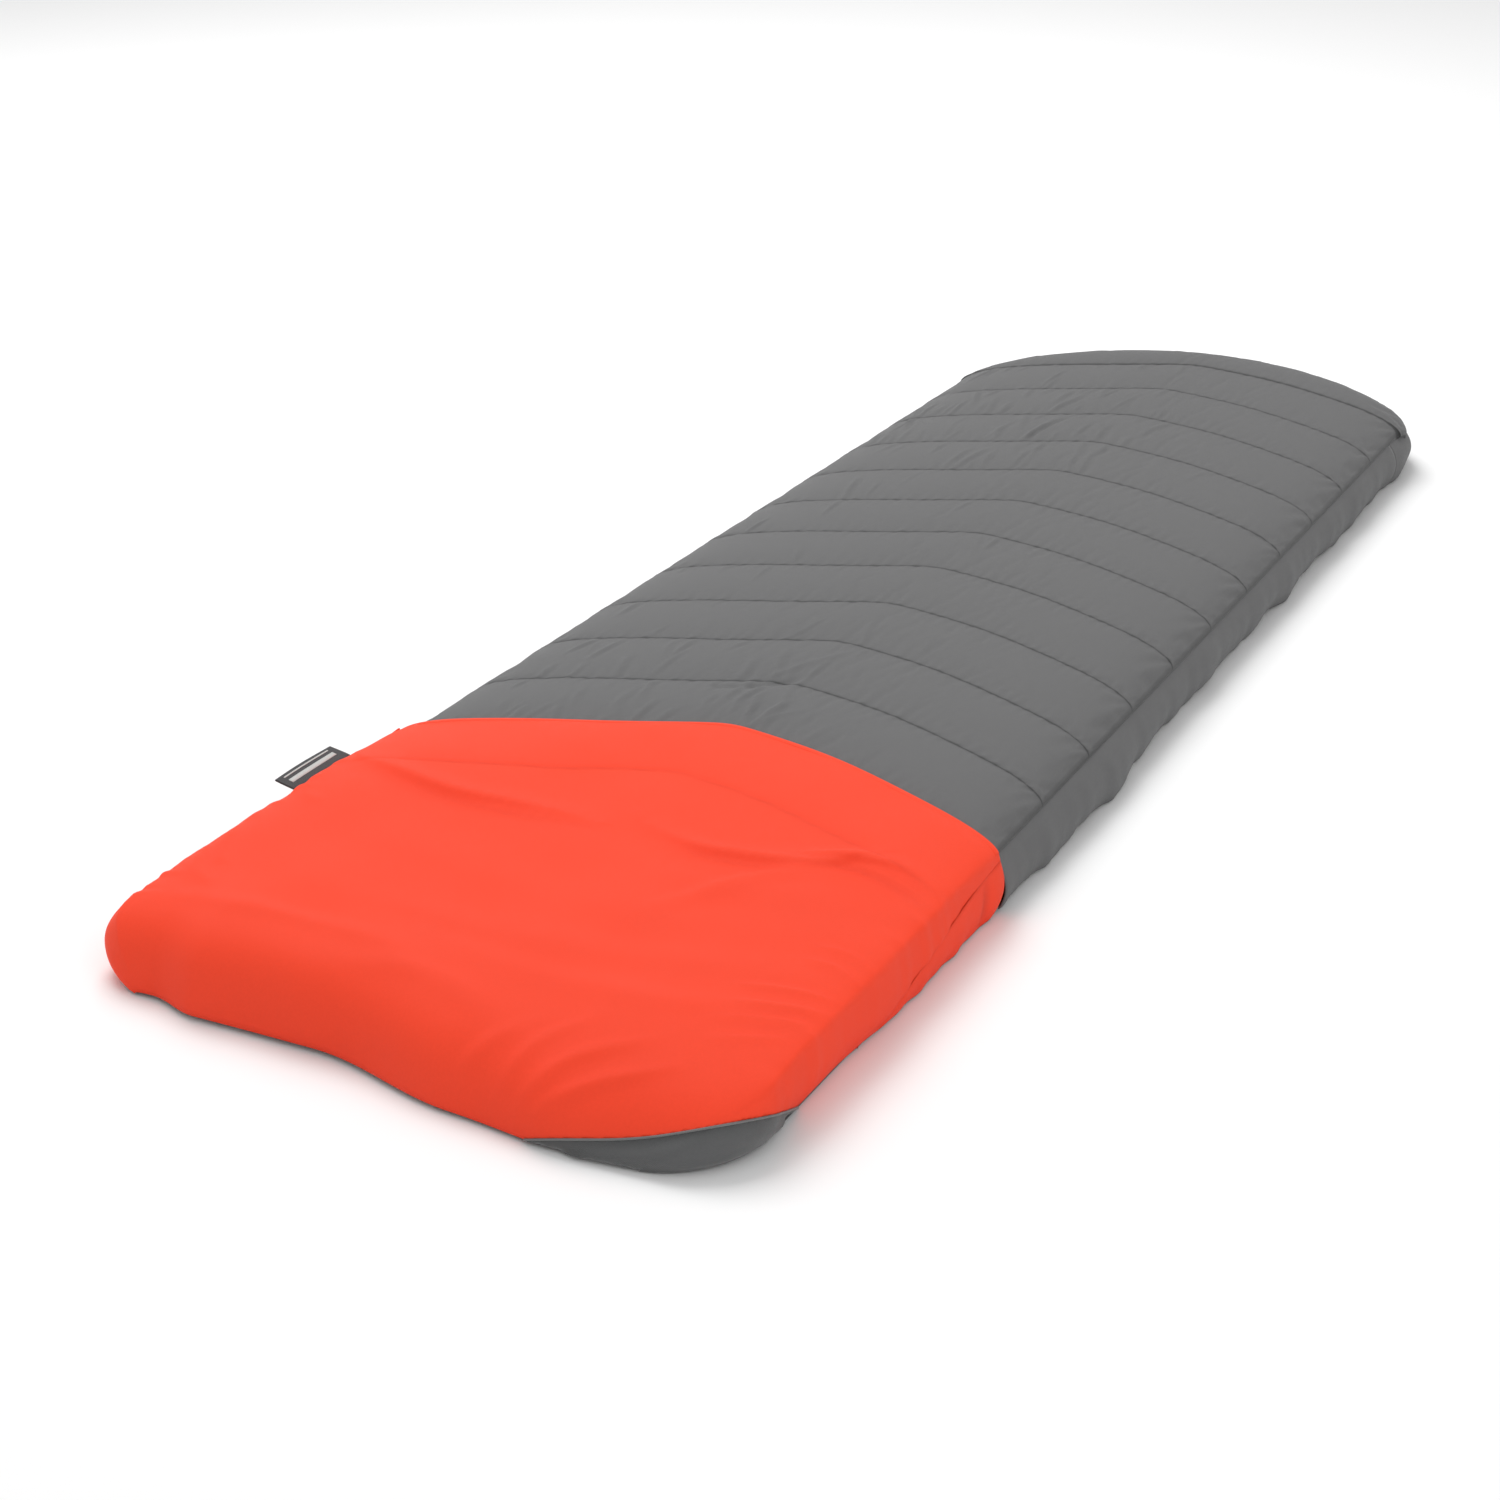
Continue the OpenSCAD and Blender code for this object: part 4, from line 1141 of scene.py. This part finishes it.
def build_pad():
    """The inflated pad: a closed form with a welded edge and shallow welds underneath."""
    cols = 91
    u = np.sin(np.linspace(-math.pi / 2, math.pi / 2, cols))[None, :]
    t = np.concatenate([TOE_START_Y - (TOE_ROLL - 0.008) * np.sin(np.radians(
        np.linspace(88, 0, 24, endpoint=False))), np.linspace(TOE_START_Y, HEAD_START_Y, 96)])
    head = np.sin(np.radians(np.linspace(0, 90, 31)[1:]))[:, None]
    y = np.concatenate([t[:, None] + 0 * u,
                        HEAD_START_Y + (head_edge(u) - 0.013 - HEAD_START_Y) * head])
    x = u * (half_width(y, u) - 0.006)
    mid = np.maximum(0.033 * toe_fall(u, y), 0.006)
    crown = roof(u, y, edge_z(u, y) - 0.0042, 0.0652)
    round_end = np.ones(len(y))
    round_end[0], round_end[1], round_end[2] = 0, 0.6, 0.85
    round_end[-1], round_end[-2], round_end[-3] = 0, 0.5, 0.8
    top_z = mid + np.maximum(0, crown - 0.001 - mid) * (
        np.maximum(0, 1 - np.abs(u) ** 2.6) ** 0.4 * round_end[:, None])
    lift = 0.0025 * smooth((MOUTH_Y + 0.065 - y) / 0.04)
    weld = np.abs(np.mod(y - chevron(u) - MOUTH_Y, 2 * SEAM_PITCH) - SEAM_PITCH)
    dent = 0.0024 * bell(weld / 0.007) * (1 - np.abs(u) ** 10) * (y < HEAD_START_Y + 0.05)
    low = lift + dent + 0.0001
    flat_to = np.maximum(0, 1 - np.abs(u) ** 16) ** 0.45 * round_end[:, None]
    base_z = mid - np.maximum(0, mid - low) * flat_to
    top = bend_toe(np.stack([x, y, top_z], axis=2))
    base = bend_toe(np.stack([x, y, base_z], axis=2))
    rows = len(y)
    index = np.arange(rows * cols).reshape(rows, cols)
    lower = index + rows * cols
    rim = np.zeros_like(index, bool)
    rim[0], rim[-1], rim[:, 0], rim[:, -1] = True, True, True, True
    lower[rim] = index[rim]
    quads = grid_quads(rows, cols)
    under = lower.ravel()[quads[:, ::-1]]
    points = np.concatenate([top.reshape(-1, 3), base.reshape(-1, 3)])
    used = np.unique(np.concatenate([quads.ravel(), under.ravel()]))
    renumber = np.zeros(len(points), int)
    renumber[used] = np.arange(len(used))
    faces = renumber[np.concatenate([quads, under])]
    piece = make_mesh("pad_body", points[used], faces)
    dress(piece, pad_cloth, ["pad_foam_core", "pad_top_skin", "pad_base_skin"])


# --- Label and valve ---
def build_label():
    """A folded woven tab with a plain border and two pale stripes."""
    low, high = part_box("label_loop")
    root = Vector((high.x - 0.0010, 0, 0.051))
    tilt = math.radians(12)
    length, reach = high.y - low.y, 0.025
    s = np.linspace(0, 1, 59)[None, :]
    y = low.y + length * s
    half = 11
    out = np.concatenate([np.linspace(0, 1, half + 1), np.linspace(1, 0, half + 1)[1:]])[:, None]
    layer = np.concatenate([np.full(half, 0.5), [0.0], np.full(half, -0.5)])[:, None]
    curl = 0.0012 * np.sin(math.pi * s + 0.5) * out**2
    d = out * reach - 0.0012 * (1 - np.abs(layer) * 2)
    h = layer * (0.0007 + 0.0006 * smooth(out / 0.2)) + curl
    x = root.x - d * math.cos(tilt)
    z = root.z + d * math.sin(tilt) + h
    grid = np.stack([x + 0 * s, y + 0 * out, z], axis=2)
    piece = sheet_piece("label_tab", grid, 0.0005, label_cloth, ["label_loop"], "label")
    for name, from_root, width in (("label_stripe_wide", 0.0125, 0.0050),
                                   ("label_stripe_narrow", 0.0195, 0.0014)):
        t = np.linspace(-0.5, 0.5, 3)[:, None]
        ss = np.linspace(0.10, 0.90, 41)[None, :]
        dd = from_root + width * t
        hh = 0.00065 + 0.0012 * np.sin(math.pi * ss + 0.5) * (dd / reach) ** 2
        g = np.stack([root.x - dd * math.cos(tilt) + 0 * ss, low.y + length * ss + 0 * dd,
                      root.z + dd * math.sin(tilt) + hh + 0.00025], axis=2)
        sheet_piece(name, g, 0.0003, pale_thread, body="label")


def build_port_patch():
    """A sewn ring of cloth round the valve's opening in the head wall."""
    low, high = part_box("valve_base")
    cx, cz = (low.x + high.x) / 2, (low.z + high.z) / 2
    turn = np.linspace(0, 2 * math.pi, 73)[None, :]
    radius = np.linspace(PORT_R, 0.0198, 7)[:, None]
    x = cx + radius * np.cos(turn)
    z = cz + radius * np.sin(turn)
    y = head_edge(x / HEAD_HW) + 0.0052 + 0.0006 * np.sin(math.pi * (radius - PORT_R) / 0.007)
    grid = np.stack([x, y, z], axis=2)
    sheet_piece("port_patch", grid, CLOTH, stretch_cloth, ["valve_port_patch"])
    stitches("port_stitches", grid[5], grey_thread, pitch=0.0024, length=0.0018)


def dress_valve():
    for name, material in (("valve_base", valve_plastic), ("valve_collar", valve_plastic),
                           ("valve_plunger", plunger_plastic), ("valve_seal", seal_rubber)):
        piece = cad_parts[name]
        piece.data.materials.clear()
        piece.data.materials.append(material)


# --- Floor, lights and camera ---
def build_stage():
    floor = make_mesh("floor", [(-9, -9, 0), (9, -9, 0), (9, 9, 0), (-9, 9, 0)], [(0, 1, 2, 3)])
    floor.location.z = -0.0003
    material, tree, shader = new_material("floor_white")
    shader.inputs["Base Color"].default_value = (0.9, 0.9, 0.9, 1)
    shader.inputs["Roughness"].default_value = 0.9
    floor.data.materials.append(material)
    world = bpy.data.worlds.new("studio")
    bpy.context.scene.world = world
    world.use_nodes = True
    world.node_tree.nodes["Background"].inputs["Color"].default_value = (1, 1, 1, 1)
    world.node_tree.nodes["Background"].inputs["Strength"].default_value = 0.63
    add_light("key", (-1.6, 1.2, 3.4), 2.6, 118)
    add_light("fill", (2.6, -2.0, 1.8), 2.6, 22)


def add_light(name, place, size, power):
    lamp = bpy.data.lights.new(name, "AREA")
    lamp.shape = "SQUARE"
    lamp.size = size
    lamp.energy = power
    light = in_scene(name, lamp)
    light.location = place
    light.rotation_mode = "QUATERNION"
    light.rotation_quaternion = (-Vector(place)).to_track_quat("-Z", "Y")


CAMERA_AZIMUTH = math.radians(28.00)
CAMERA_ELEVATION = math.radians(24.35)
CAMERA_ROLL = math.radians(1.07)
CAMERA_DISTANCE = 2.6458
CAMERA_TARGET = Vector((-0.0388, -0.2658, 0.0))
CAMERA_LENS = 69.60


def build_camera():
    cos_up = math.cos(CAMERA_ELEVATION)
    back = Vector((math.sin(CAMERA_AZIMUTH) * cos_up, -math.cos(CAMERA_AZIMUTH) * cos_up,
                   math.sin(CAMERA_ELEVATION)))
    lens = bpy.data.cameras.new("camera")
    lens.lens = CAMERA_LENS
    lens.sensor_width = 36
    camera = in_scene("camera", lens)
    camera.location = CAMERA_TARGET + back * CAMERA_DISTANCE
    camera.rotation_mode = "QUATERNION"
    aim = (-back).to_track_quat("-Z", "Y")
    camera.rotation_quaternion = aim @ Matrix.Rotation(-CAMERA_ROLL, 3, "Z").to_quaternion()
    bpy.context.scene.camera = camera


build_camera()
build_stage()
build_pad()
build_quilt()
build_foot_panels(build_pocket())
build_gore(1, "gore_right", "foot_right_gore")
build_gore(-1, "gore_left", "foot_left_gore")
build_binding()
wall, rim, rim_out = build_walls()
build_hems(wall, rim, rim_out)
build_base_panel()
build_label()
build_port_patch()
dress_valve()

bpy.context.scene.view_settings.view_transform = "Standard"
bpy.context.view_layer.update()
